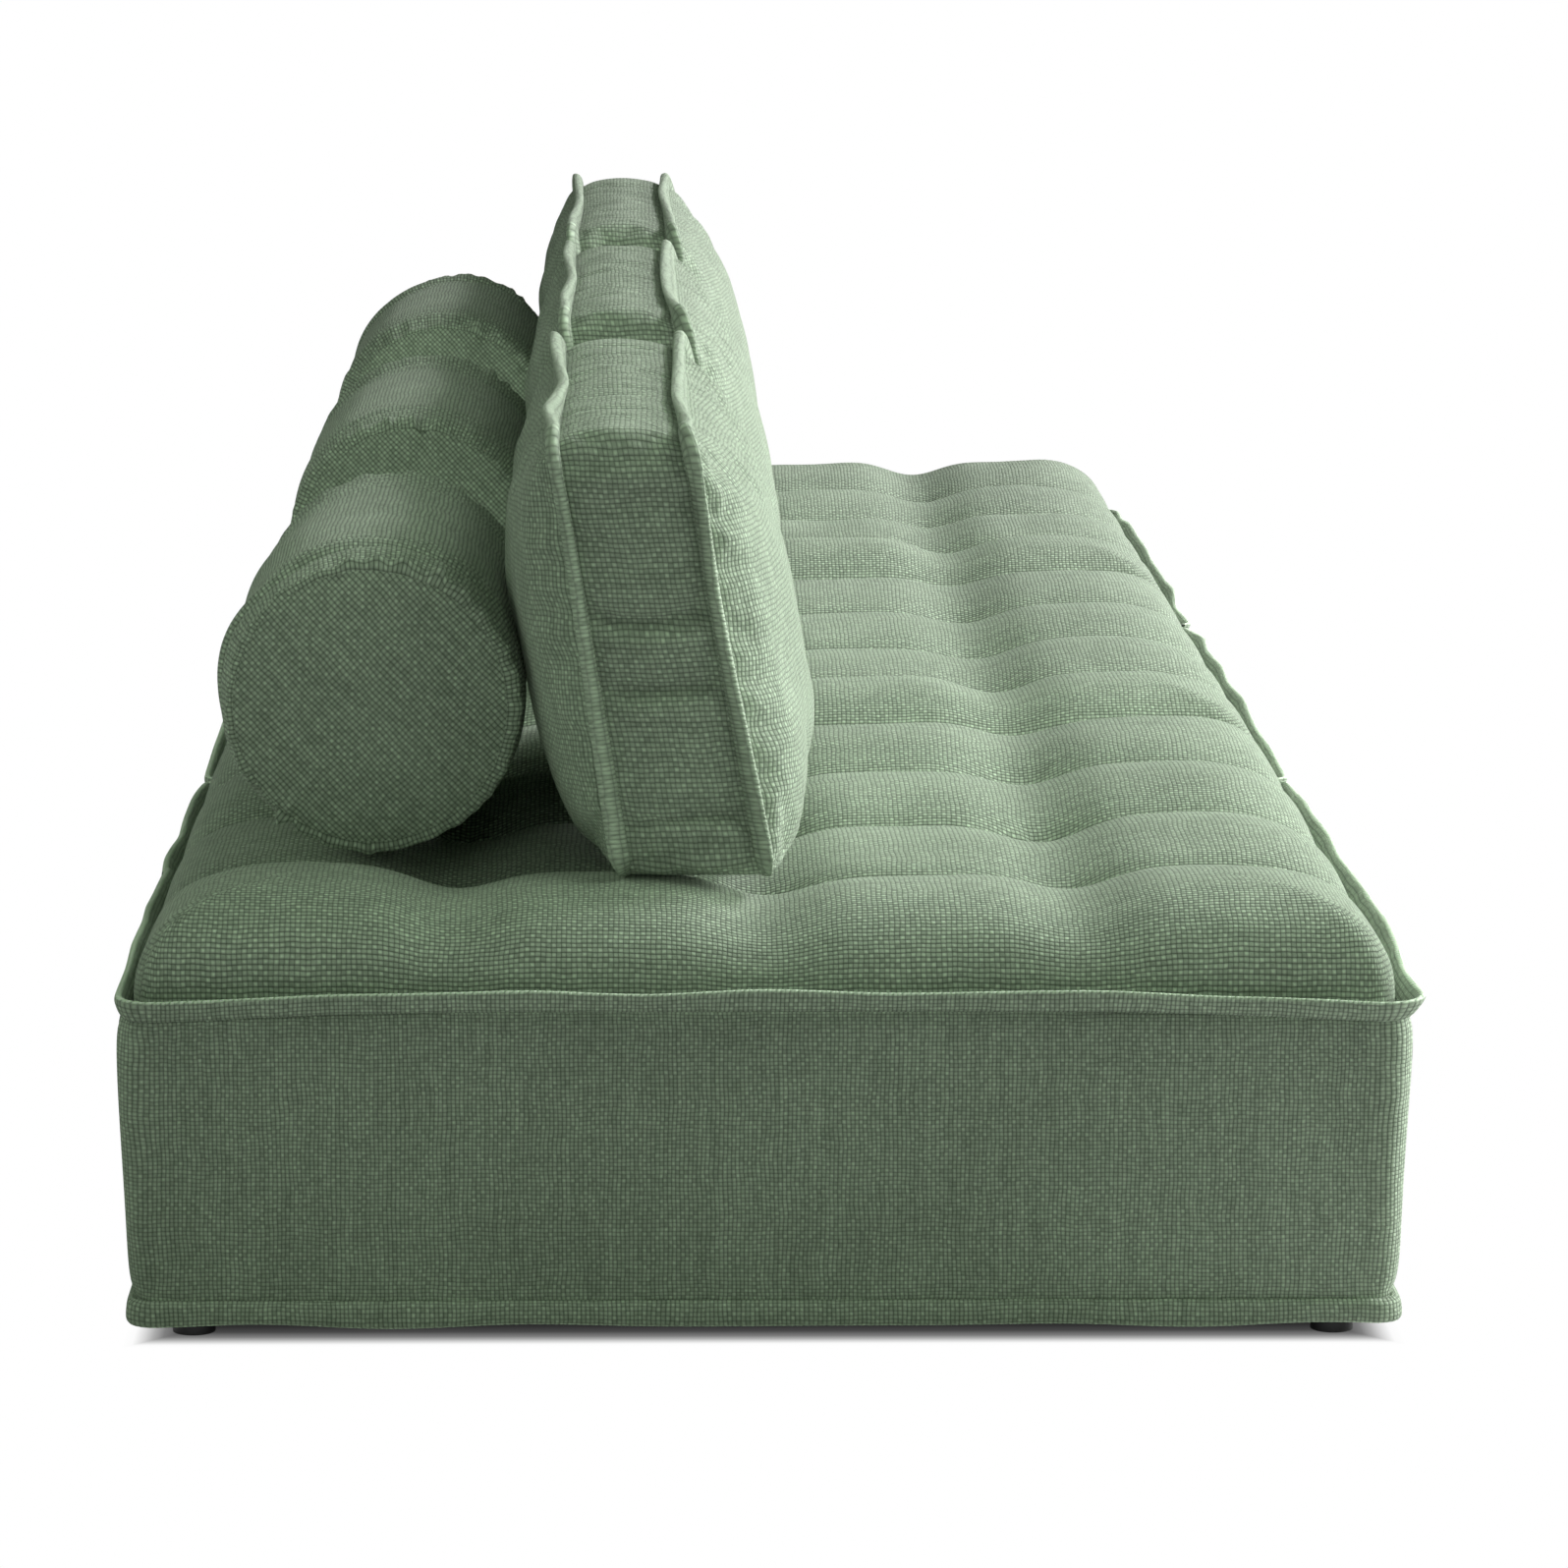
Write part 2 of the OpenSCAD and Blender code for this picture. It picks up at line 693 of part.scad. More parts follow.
module bolster_core(i) {
    outline = bolster_outline(bolster_skin_t + filling_clear);
    color(foam_cream)
        on_bolster_axis(i)
            rotate_extrude()
                polygon(concat(
                    outline,
                    [[0, outline[len(outline) - 1].y], [0, outline[0].y]]
                ));
}

// Connectors: a link swings on a screw under the middle seat and hooks a pin next door
pin_inset = cover_t + (rail_t - dust_lap) / 2;
link_reach = 2 * pin_inset + 2 * lip_pressed + seat_gap;
slot_w = pin_d + 2 * pin_clear;

module link_plate() {
    linear_extrude(link_t)
        difference() {
            union() {
                circle(d = link_w);
                translate([0, -link_w / 2]) square([link_reach, link_w]);
                translate([link_reach, 0]) circle(d = link_w);
            }
            circle(d = slot_w);
            translate([link_reach, 0]) circle(d = slot_w);
            // The slot follows the arc on which the link swings off its pin
            intersection() {
                difference() {
                    circle(r = link_reach + slot_w / 2);
                    circle(r = link_reach - slot_w / 2);
                }
                translate([0, -link_w]) square([link_reach + link_w, link_w]);
            }
        }
}

// Places a connector part at one end of the middle seat: s is -1 or 1, e is -1 or 1
module at_pivot(s, e) {
    translate([s * (seat_half - pin_inset), e * link_y, 0])
        mirror([s < 0 ? 1 : 0, 0, 0])
            mirror([0, e < 0 ? 1 : 0, 0])
                children();
}

module connector_link(s, e) {
    color(steel_grey) at_pivot(s, e) translate([0, 0, link_z]) link_plate();
}

module pivot_screws() {
    spacer_z = link_z + link_t + link_play;
    head_z = link_z - link_play - pivot_head_t;
    color(steel_grey)
        for (s = [-1, 1], e = [-1, 1])
            at_pivot(s, e) {
                translate([0, 0, spacer_z]) cylinder(h = frame_z - spacer_z, d = pivot_d);
                translate([0, 0, head_z]) cylinder(h = frame_z - head_z, d = pin_d);
                translate([0, 0, head_z]) cylinder(h = pivot_head_t, d = pivot_d);
            }
}

module connector_pins(s) {
    low_z = link_z - pin_over;
    color(steel_grey)
        for (e = [-1, 1])
            at_pivot(s, e)
                translate([link_reach, 0, low_z]) cylinder(h = frame_z - low_z, d = pin_d);
}

for (i = [0 : len(sides) - 1]) {
    side = sides[i];
    seat_pad(i);
    seat_foam(i);
    side_cover(i);
    top_lip(i);
    bottom_lip(i);
    frame(i);
    webbing(i);
    feet(i);
    dust_cover(i);
    tuft_ties(i);
    cushion_boxing(i);
    cushion_panels(i);
    cushion_flanges(i);
    cushion_core(i);
    bolster_cover(i);
    bolster_ends(i);
    bolster_core(i);
}
for (k = [0 : len(link_names) - 1])
    connector_link(k < 2 ? -1 : 1, k % 2 == 0 ? -1 : 1);
for (k = [0, 1])
    connector_pins(2 * k - 1);
pivot_screws();
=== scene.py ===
import math

import bmesh
import bpy
import numpy as np
from mathutils import Matrix, Vector


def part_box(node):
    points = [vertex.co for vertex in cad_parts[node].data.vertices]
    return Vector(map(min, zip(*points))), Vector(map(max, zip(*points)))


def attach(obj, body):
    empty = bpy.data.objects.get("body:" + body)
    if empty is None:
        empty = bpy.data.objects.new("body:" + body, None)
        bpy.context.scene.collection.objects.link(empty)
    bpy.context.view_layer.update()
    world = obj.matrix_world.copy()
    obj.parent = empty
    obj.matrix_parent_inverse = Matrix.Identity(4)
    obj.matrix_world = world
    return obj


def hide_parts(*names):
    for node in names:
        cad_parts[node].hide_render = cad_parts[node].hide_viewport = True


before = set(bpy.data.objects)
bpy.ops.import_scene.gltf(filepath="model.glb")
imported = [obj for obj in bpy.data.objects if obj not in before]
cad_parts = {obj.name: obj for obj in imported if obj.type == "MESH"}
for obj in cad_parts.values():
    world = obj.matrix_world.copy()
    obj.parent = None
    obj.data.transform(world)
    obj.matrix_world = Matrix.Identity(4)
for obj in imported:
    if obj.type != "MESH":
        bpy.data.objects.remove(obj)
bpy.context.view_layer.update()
print("frame loaded:", len(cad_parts), "nodes")


def placeIn(node, share=0.5):
    # A point of a solid's box, a share of the way from its lowest corner to its highest, to the micrometre
    low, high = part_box(node)
    return [round(a + (b - a) * share, 6) for a, b in zip(low, high)]


# All lengths are metres. x runs along the row of seats, y from the open front to the back, z up
sides = ["left", "middle", "right"]
seatX = {side: placeIn(side + "_seat_pad")[0] for side in sides}
topSeam = placeIn("middle_seat_pad", 0)[2]
hemSeam = placeIn("middle_side_cover", 0)[2]


shot = {
    "place": (-6.1213, 0.1079, 1.2504),
    "pitch": 9.853,  # degrees down
    "yaw": 1.499,  # degrees towards the front of the sofa
    "roll": 0.244,
    "lens": 138.12, "sensor": 36,  # mm
    "farthest": 200,
}


def makeCamera():
    pitch, yaw, roll = (math.radians(shot[k]) for k in ("pitch", "yaw", "roll"))
    ahead = Vector((math.cos(pitch) * math.cos(yaw), -math.cos(pitch) * math.sin(yaw), -math.sin(pitch)))
    right = ahead.cross(Vector((0, 0, 1))).normalized()
    up = right.cross(ahead)
    across = right * math.cos(roll) + up * math.sin(roll)
    upright = up * math.cos(roll) - right * math.sin(roll)
    lens = bpy.data.cameras.new("camera")
    lens.lens = shot["lens"]
    lens.sensor_width = shot["sensor"]
    lens.clip_end = shot["farthest"]
    camera = bpy.data.objects.new("camera", lens)
    turn = Matrix((across, upright, -ahead)).transposed().to_4x4()
    camera.matrix_world = Matrix.Translation(shot["place"]) @ turn
    bpy.context.collection.objects.link(camera)
    bpy.context.scene.camera = camera


makeCamera()


def linear(text):
    # sRGB hex to linear colour with alpha
    parts = [int(text[k:k + 2], 16) / 255 for k in (1, 3, 5)]
    return [c / 12.92 if c <= 0.04045 else ((c + 0.055) / 1.055) ** 2.4 for c in parts] + [1.0]


def addNode(tree, kind, inputs=None, operation=None, stops=None, **settings):
    # An input is a value, a node's output, or a node, which stands for its first output
    node = tree.nodes.new("ShaderNode" + kind)
    if operation:
        node.operation = operation
    for name, value in settings.items():
        setattr(node, name, value)
    for key, value in (inputs or {}).items():
        if isinstance(value, bpy.types.Node):
            value = value.outputs[0]
        if isinstance(value, bpy.types.NodeSocket):
            tree.links.new(value, node.inputs[key])
        else:
            node.inputs[key].default_value = value
    for k, (place, shade) in enumerate(stops or []):
        element = node.color_ramp.elements[k] if k < 2 else node.color_ramp.elements.new(place)
        element.position = place
        element.color = linear(shade) if isinstance(shade, str) else (shade, shade, shade, 1)
    return node


def newMaterial(name):
    material = bpy.data.materials.new(name)
    material.use_nodes = True
    material.node_tree.nodes.clear()
    return material, material.node_tree


def finishMaterial(material, height, strength, depth, inputs, tone=None):
    # Gives a material its relief, shader and output. A tone makes its one colour lighter and darker
    tree = material.node_tree
    colour = inputs["Base Color"]
    if tone:
        shade = linear(colour)[:3]
        colour = addNode(tree, "VectorMath", {0: shade, "Scale": tone.outputs[0]}, "SCALE")
    relief = addNode(tree, "Bump", {"Strength": strength, "Distance": depth, "Height": height})
    shader = addNode(tree, "BsdfPrincipled", {**inputs, "Base Color": colour, "Normal": relief})
    addNode(tree, "OutputMaterial", {"Surface": shader})
    return material


# Upholstery cloth: plain weave of soft slubby yarn, undyed and sage yarns twisted together. Such cloth shows
# pale thread tops in rows with dark holes between them, streaks where a yarn is thicker, and a soft bloom at
# its edges. Its threads are drawn coarser than real ones, as coarse as the photograph shows them
cloth = {
    "colour": "#b1bcad",
    "thread": 0.0044,  # spacing of the threads
    "wander": 0.0055, "wanderScale": 22.0,  # how far the threads run off their line, and how often in a metre
    "warpGap": 0.55, "weftGap": 0.35,  # how wide the dark gaps between the threads are
    "slub": 0.035,  # length of a thick place in a yarn
    "streakShares": (0.55, 0.35),  # cells of the streaks' noise to a thread's spacing and a slub's length
    "fuzzScale": 1.7, "cloudScale": 7.0,
    "contrast": 1.05, "contrastMiddle": 0.61, "relief": 0.0007, "fuzzRelief": 0.5,
    # How much the shade of each crossing, yarn, fibre and cloud varies
    "shades": (0.30, 0.60, 0.45, 0.30),
    "bloom": 0.30, "bloomColour": "#dfe6da",  # fine fibres that light up at grazing angles
    # Stitches on a fold: slant, strength of a dash at its highest and lowest, relief. A fold's lift also adds
    # them to the colour as a painted highlight
    "stitchSlant": 0.9, "stitchHigh": 0.8, "stitchLow": 0.3, "stitchRelief": 1.2,
}


def makeCloth(name, thread=1.0, turn=0.0, contrast=1.0, checks=0.12, bloom=1.0, fold=None):
    material, tree = newMaterial(name)
    spacing = cloth["thread"] * thread
    uv = addNode(tree, "UVMap", uv_map="cloth")
    wander = addNode(tree, "TexNoise", {"Vector": uv, "Scale": cloth["wanderScale"], "Detail": 2.0})
    wander = addNode(tree, "VectorMath", {0: wander.outputs["Color"], 1: [0.5] * 3}, "SUBTRACT")
    aside = (cloth["wander"], cloth["wander"], 0)
    uneven = addNode(tree, "VectorMath", {0: wander, 1: aside, 2: uv}, "MULTIPLY_ADD")
    threads = addNode(tree, "Mapping", {
        "Vector": uneven, "Rotation": (0, 0, turn), "Scale": [1 / spacing] * 3})
    waves = addNode(tree, "VectorMath", {0: threads, 1: [math.pi] * 3}, "MULTIPLY")
    waves = addNode(tree, "VectorMath", {0: waves}, "SINE")
    wave = addNode(tree, "SeparateXYZ", {0: waves})
    height = addNode(tree, "SeparateXYZ", {0: addNode(tree, "VectorMath", {0: waves}, "ABSOLUTE")})
    # Thread tops in squares with dark gaps between them, the warp's wider than the weft's, come up in turn
    warp = addNode(tree, "Math", {0: height.outputs[0], 1: cloth["warpGap"]}, "POWER")
    weft = addNode(tree, "Math", {0: height.outputs[1], 1: cloth["weftGap"]}, "POWER")
    tops = addNode(tree, "Math", {0: warp, 1: weft}, "MULTIPLY")
    over = addNode(tree, "Math", {0: wave.outputs[0], 1: wave.outputs[1]}, "MULTIPLY")
    over = addNode(tree, "Math", {0: over, 1: checks, 2: 1 - 0.2 * checks}, "MULTIPLY_ADD")
    weave = addNode(tree, "Math", {0: tops, 1: over}, "MULTIPLY")
    # Each crossing has its own shade, each yarn its slubs, and the whole cloth faint clouds
    crossing = addNode(tree, "VectorMath", {0: threads}, "FLOOR")
    crossing = addNode(tree, "TexWhiteNoise", {"Vector": crossing}, noise_dimensions="2D")
    widths = (spacing / cloth["streakShares"][0], cloth["slub"] / cloth["streakShares"][1], 1)
    along = addNode(tree, "Mapping", {
        "Vector": uv, "Rotation": (0, 0, -turn), "Scale": widths}, vector_type="TEXTURE")
    streak = addNode(tree, "TexNoise", {"Vector": along, "Scale": 1.0, "Detail": 3.0, "Roughness": 0.65})
    fuzz = addNode(tree, "TexNoise", {
        "Vector": threads, "Scale": cloth["fuzzScale"], "Detail": 3.0, "Roughness": 0.6})
    cloud = addNode(tree, "TexNoise", {"Vector": uv, "Scale": cloth["cloudScale"], "Detail": 3.0})
    depth = cloth["contrast"] * contrast
    darkest = 1 - cloth["contrastMiddle"] * depth
    tone = addNode(tree, "Math", {0: weave, 1: depth, 2: darkest}, "MULTIPLY_ADD")
    for noise, amount in zip((crossing, streak, fuzz, cloud), cloth["shades"]):
        share = addNode(tree, "Math", {0: noise.outputs[0], 1: amount, 2: 1 - amount / 2}, "MULTIPLY_ADD")
        tone = addNode(tree, "Math", {0: tone, 1: share}, "MULTIPLY")
    raised = addNode(tree, "Math", {0: fuzz, 1: cloth["fuzzRelief"], 2: weave}, "MULTIPLY_ADD")
    if fold:
        # Slanted stitches bind the folded edge, which lies at the map's zero. Lift lightens their colour
        # there as a painted highlight
        place = addNode(tree, "SeparateXYZ", {0: uv})
        edge = addNode(tree, "Math", {0: place.outputs[1]}, "ABSOLUTE")
        edge = addNode(tree, "Math", {0: edge, 1: -1 / fold["width"], 2: 1.0}, "MULTIPLY_ADD", use_clamp=True)
        slant = cloth["stitchSlant"]
        dash = addNode(tree, "Math", {0: place.outputs[1], 1: slant, 2: place.outputs[0]}, "MULTIPLY_ADD")
        dash = addNode(tree, "Math", {0: dash, 1: math.pi / fold["spacing"]}, "MULTIPLY")
        dash = addNode(tree, "Math", {0: dash}, "SINE")
        dash = addNode(tree, "Math", {0: dash}, "ABSOLUTE")
        dash = addNode(tree, "Math", {0: dash, 1: cloth["stitchHigh"], 2: cloth["stitchLow"]}, "MULTIPLY_ADD")
        seam = addNode(tree, "Math", {0: edge, 1: dash}, "MULTIPLY")
        tone = addNode(tree, "Math", {0: seam, 1: fold["lift"], 2: tone}, "MULTIPLY_ADD")
        raised = addNode(tree, "Math", {0: seam, 1: cloth["stitchRelief"], 2: raised}, "MULTIPLY_ADD")
    return finishMaterial(material, raised, 1.0, cloth["relief"], {
        "Base Color": cloth["colour"], "Roughness": 0.92, "Specular IOR Level": 0.15,
        "Sheen Weight": cloth["bloom"] * bloom, "Sheen Roughness": 0.30,
        "Sheen Tint": linear(cloth["bloomColour"]),
    }, tone)


wallCloth = makeCloth("woven_upholstery_wall", thread=0.76, contrast=0.95)
padCloth = makeCloth("woven_upholstery_pad", thread=0.93, contrast=1.15, checks=0.2)
cushionCloth = makeCloth("woven_upholstery_cushion", thread=0.93, contrast=0.9, checks=0.2)
discCloth = makeCloth("woven_upholstery_bias_cut", thread=0.88, turn=math.radians(43))
# Both folds carry a painted highlight: lift lightens the stitched edge's colour, strongly on the lips and
# faintly on the flanges
lipCloth = makeCloth(
    "woven_upholstery_folded_lip", thread=0.8, bloom=0.2,
    fold={"width": 0.0044, "spacing": 0.0062, "lift": 2.0})
flangeCloth = makeCloth(
    "woven_upholstery_folded_flange", thread=0.8, contrast=0.7,
    fold={"width": 0.0036, "spacing": 0.0056, "lift": 0.4})

# Polyester wadding round cut foam: off-white, matt, loose tangled fibres about 0.2 mm thick, drawn at 3 mm
waddingLook = {
    "deep": "#cfc6a4", "pale": "#f0ead6", "tangleScale": 330.0, "lumpScale": 28.0, "relief": 0.0015,
}


def makeWadding():
    material, tree = newMaterial("polyester_wadding")
    place = addNode(tree, "TexCoord").outputs["Object"]
    tangle = addNode(tree, "TexNoise", {
        "Vector": place, "Scale": waddingLook["tangleScale"], "Detail": 5.0, "Roughness": 0.7,
        "Distortion": 1.5})
    lump = addNode(tree, "TexNoise", {"Vector": place, "Scale": waddingLook["lumpScale"], "Detail": 2.0})
    mixed = addNode(tree, "Math", {0: lump, 1: 0.5, 2: tangle.outputs[0]}, "MULTIPLY_ADD")
    stops = [(0.35, waddingLook["deep"]), (0.95, waddingLook["pale"])]
    colour = addNode(tree, "ValToRGB", {0: mixed}, stops=stops)
    return finishMaterial(material, mixed, 0.8, waddingLook["relief"], {
        "Base Color": colour, "Roughness": 0.97, "Specular IOR Level": 0.1, "Sheen Weight": 0.3})


wadding = makeWadding()
print("cloth ready")


def softNoise(x, y, size, seed, waves=14, shortest=0.7, longest=1.9, height=3.2):
    # Smooth, uneven waves about as wide as size, between -1 and 1 or so
    random = np.random.default_rng(seed)
    total = np.zeros_like(x)
    for _ in range(waves):
        angle = random.uniform(0, 2 * math.pi)
        length = size * random.uniform(shortest, longest)
        run = (x * math.cos(angle) + y * math.sin(angle)) * 2 * math.pi / length
        total = total + np.sin(run + random.uniform(0, 2 * math.pi))
    return total / height


def softWave(run, size, seed, waves=7, shortest=0.75, longest=2.2, height=2.4):
    # The same along a line, such as the length of a strip
    random = np.random.default_rng(seed)
    total = np.zeros_like(run)
    for _ in range(waves):
        length = size * random.uniform(shortest, longest)
        total = total + np.sin(run * 2 * math.pi / length + random.uniform(0, 2 * math.pi))
    return total / height


def kinkedWave(run, size, seed):
    # Waves that turn sharply, as the edge of a stiff sewn fold does
    phase = run / size + 0.22 * softWave(run, 2.5 * size, seed)
    kinks = np.arcsin(0.9 * np.sin(2 * math.pi * phase)) / 1.12
    return kinks * (0.75 + 0.35 * softWave(run, 3 * size, seed + 7))


def linkMesh(bm, name, material):
    mesh = bpy.data.meshes.new(name)
    bm.to_mesh(mesh)
    bm.free()
    mesh.shade_smooth()
    mesh.materials.append(material)
    piece = bpy.data.objects.new(name, mesh)
    bpy.context.collection.objects.link(piece)
    return piece


def clothRun(line):
    # Metres of cloth along a line of points, from its start
    return np.concatenate([[0], np.cumsum(np.linalg.norm(np.diff(line, axis=0), axis=1))])


def wovenGrid(columns, rows, place, closed=False, guide=0.5, fromMiddle=False):
    # A grid of cloth: place turns shares of its width and length into points. Its map holds metres of cloth,
    # measured along one guide line each way, so that the threads stay straight. A fold lies at zero
    bm = bmesh.new()
    bmesh.ops.create_grid(bm, x_segments=columns, y_segments=rows, size=0.5)
    bm.verts.ensure_lookup_table()
    shares = np.array([v.co[:2] for v in bm.verts]) + 0.5
    column = np.rint(shares[:, 0] * columns).astype(int)
    row = np.rint(shares[:, 1] * rows).astype(int)
    points = np.stack(place(column / columns, row / rows), axis=1)
    grid = np.zeros((columns + 1, rows + 1, 3))
    grid[column, row] = points
    guideRow = 0 if closed else int(round(guide * rows))
    guideColumn = 0 if closed else int(round(guide * columns))
    across = clothRun(grid[:, guideRow])
    along = clothRun(grid[guideColumn])
    if fromMiddle:
        along = along - along[rows // 2]
    layer = bm.loops.layers.uv.new("cloth")
    for v, p in zip(bm.verts, points):
        v.co = p
    lengths = np.stack([across[column], along[row]], axis=1)
    for face in bm.faces:
        for loop in face.loops:
            loop[layer].uv = lengths[loop.vert.index]
    if closed:
        bmesh.ops.remove_doubles(bm, verts=bm.verts, dist=1e-5)
    bmesh.ops.recalc_face_normals(bm, faces=bm.faces)
    return bm


def turnOutwards(bm):
    # Turns a closed shell's faces round if they point inwards
    if bm.calc_volume(signed=True) <= 0:
        bmesh.ops.reverse_faces(bm, faces=bm.faces)


def joined(parts):
    # One mesh of several, sewn where their edges meet
    bm = parts[0]
    for other in parts[1:]:
        mesh = bpy.data.meshes.new("part")
        other.to_mesh(mesh)
        other.free()
        bm.from_mesh(mesh)
        bpy.data.meshes.remove(mesh)
    bmesh.ops.remove_doubles(bm, verts=bm.verts, dist=2e-5)
    bmesh.ops.recalc_face_normals(bm, faces=bm.faces)
    return bm


def roundedPoint(u, v, halfX, halfY, radius, pull=6):
    # Point of a square of shares, -1 to 1 each way, in a rectangle with rounded corners
    m = np.maximum(np.abs(u), np.abs(v))
    r = radius * m ** pull
    qx = np.abs(u) * halfX - m * halfX + r
    qy = np.abs(v) * halfY - m * halfY + r
    size = np.maximum(np.hypot(qx, qy), 1e-9)
    corner = (qx > 0) & (qy > 0)
    x = np.where(corner, np.sign(u) * (m * halfX - r + qx * r / size), u * halfX)
    y = np.where(corner, np.sign(v) * (m * halfY - r + qy * r / size), v * halfY)
    return x, y


def ringPoint(share, half, radius):
    # Place and outward direction on a rounded square, from the middle of its back side round to the left
    straight = 2 * (half - radius)
    arc = math.pi * radius / 2
    lap = straight + arc
    run = (share * 4 * lap + straight / 2) % (4 * lap)
    side = np.floor(run / lap)
    rest = run - side * lap
    inner = half - radius
    bend = np.clip((rest - straight) / radius, 0, math.pi / 2)
    x = np.where(rest < straight, rest - inner, inner + radius * np.sin(bend))
    y = np.where(rest < straight, half, inner + radius * np.cos(bend))
    nx, ny = np.sin(bend), np.cos(bend)
    turn = -side * math.pi / 2
    cos, sin = np.cos(turn), np.sin(turn)
    toCorner = np.minimum(np.abs(rest - straight - arc / 2), rest + arc / 2)
    return x * cos - y * sin, x * sin + y * cos, nx * cos - ny * sin, nx * sin + ny * cos, toCorner, side


def foldSection(b, thickness, seamShare):
    # Section of a folded strip: share of the way out to the fold, and how far a layer lies off the middle.
    # It is round at the fold, and full enough at the seam to stand over the cloth below
    q = 1 - np.abs(2 * b - 1)
    q = 1 - (1 - q) ** 1.6
    thick = thickness / 2 * np.sqrt(np.clip(1 - q ** 6, 0, 1)) * (q / (q + seamShare)) ** 0.6
    return q, np.where(b < 0.5, 1.0, -1.0) * thick


# Tufted seat pads: sixteen cells, nine tufts. Across the row the cells are parted by deep furrows, so that
# each row of them is one roll, and along a roll they meet in soft valleys
pad = {
    "half": 0.4965, "corner": 0.022, "seam": topSeam, "rim": 0.006, "crown": 0.088,
    "foam": placeIn("middle_seat_foam", 0)[2], "wrap": 0.005,  # the filling's base and its depth in the cover
    "edgeWidth": 0.118, "edgePower": 2.4, "cells": 4,
    "edgeLines": 26, "innerLines": 160, "guide": 0.624,
    "dish": 0.010,  # how much lower the middle is than the front and the back
    "furrow": 0.036, "furrowPower": 2.0,  # depth of a furrow, and how full the rolls are
    "valley": 0.015, "valleyPower": 3.2,  # depth of a valley, and how narrow it is
    "pull": 0.015, "pullShares": (0.85, 1.1), "pullReach": 0.038, "pullPower": 1.25,  # more depth at a tuft
    "pleat": 0.0022, "pleatPlace": 0.02, "pleatReach": 0.035,  # small folds round each tuft
    "pleatsRound": (5, 7, 9), "pleatShares": (0.5, 1),
    "unevenness": 0.0010, "unevenSize": 0.16,
    "filling": 0.0020, "fillingShares": (-1, 0.6),  # cells differ a little in their filling
    # Rolls that are fuller or flatter than the others, counted from the left, by how much behind the front
    # cells, what share of it the front cells have, and how far it reaches from a cell's middle
    "rolls": {
        "left": (0.001, -0.010, 0.0, 0.003), "middle": (0.007, -0.006, -0.006, -0.003),
        "right": (0.009, -0.001, 0.0, 0.003),
    },
    "frontShare": 0.3, "cellReachX": 0.09, "cellReachY": 0.12,
}


def cellPhase(u):
    share = 2 / pad["cells"]
    c = (u + 1) / share
    return np.where(np.abs(u) >= 1 - share / 2, 0.0, 2 * (c - np.floor(c)) - 1)


def edgeSpaced(share):
    # Shares 0 to 1 to places -1 to 1, with the grid's lines close together down the steep edge
    w = 2 * share - 1
    edge = pad["edgeLines"] / (pad["edgeLines"] + pad["innerLines"] / 2)
    flat = 1 - pad["edgeWidth"] / pad["half"]
    q = np.clip((1 - np.abs(w)) / edge, 0, 1)
    outer = 1 - (1 - flat) * (1 - np.cos(q * math.pi / 2) ** (2 / pad["edgePower"]))
    inner = np.abs(w) / (1 - edge) * flat
    return np.sign(w) * np.where(np.abs(w) > 1 - edge, outer, inner)


def tuftLift(x, y, tx, ty, seed):
    # How far a tuft pulls the cloth down, and how far the folds that run from it stand up
    r = np.hypot(x - tx, y - ty)
    angle = np.arctan2(y - ty, x - tx)
    random = np.random.default_rng(seed * 31 + int(tx * 100) * 7 + int(ty * 100) + 999)
    pull = pad["pull"] * random.uniform(*pad["pullShares"])
    pull = pull * np.exp(-(r / pad["pullReach"]) ** pad["pullPower"])
    folds = np.zeros_like(r)
    for k in pad["pleatsRound"]:
        folds = folds + np.sin(k * angle + random.uniform(0, 6.28)) * random.uniform(*pad["pleatShares"])
    out = r / pad["pleatPlace"]
    return pull, pad["pleat"] * folds / 2 * out * np.exp(1 - out) * np.exp(-(r / pad["pleatReach"]) ** 2)


def padPoints(a, b, side, seed, inset=0.0):
    # The pad's upper face, or the filling's that lies inset under it
    u, v = edgeSpaced(a), edgeSpaced(b)
    d = pad["half"] * (1 - np.maximum(np.abs(u), np.abs(v)))
    w = 1 - np.minimum(1, d / pad["edgeWidth"])
    rise = (1 - w ** pad["edgePower"]) ** (1 / pad["edgePower"])
    x, y = roundedPoint(u, v, pad["half"] - inset / 2, pad["half"] - inset / 2, pad["corner"])
    s, t = cellPhase(u), cellPhase(v)
    furrow = 1 - np.clip(1 - np.abs(s) ** pad["furrowPower"], 0, 1) ** 0.5
    valley = ((1 - np.cos(t * math.pi)) / 2) ** pad["valleyPower"]
    dish = pad["dish"] * np.cos(math.pi / 2 * np.minimum(1, np.abs(v) / (1 - 1 / pad["cells"])))
    drop = dish + pad["furrow"] * furrow + pad["valley"] * valley
    step = 2 / pad["cells"] * pad["half"]
    middle = (pad["cells"] - 1) / 2
    random = np.random.default_rng(seed)
    for i in range(pad["cells"]):
        for j in range(pad["cells"]):
            more = pad["filling"] * random.uniform(*pad["fillingShares"])
            more += pad["rolls"][side][i] * (1 if j else pad["frontShare"])
            fromX = (x - (i - middle) * step) / pad["cellReachX"]
            fromY = (y - (j - middle) * step) / pad["cellReachY"]
            drop = drop - more * np.exp(-fromX ** 4 - fromY ** 4)
    for tx in (-step, 0, step):
        for ty in (-step, 0, step):
            pull, folds = tuftLift(x, y, tx, ty, seed)
            drop = drop + pull - folds
    drop = drop - pad["unevenness"] * softNoise(x, y, pad["unevenSize"], seed)
    z = pad["rim"] + rise * (pad["crown"] - pad["rim"] - drop)
    return x + seatX[side], y, z + pad["seam"] - inset


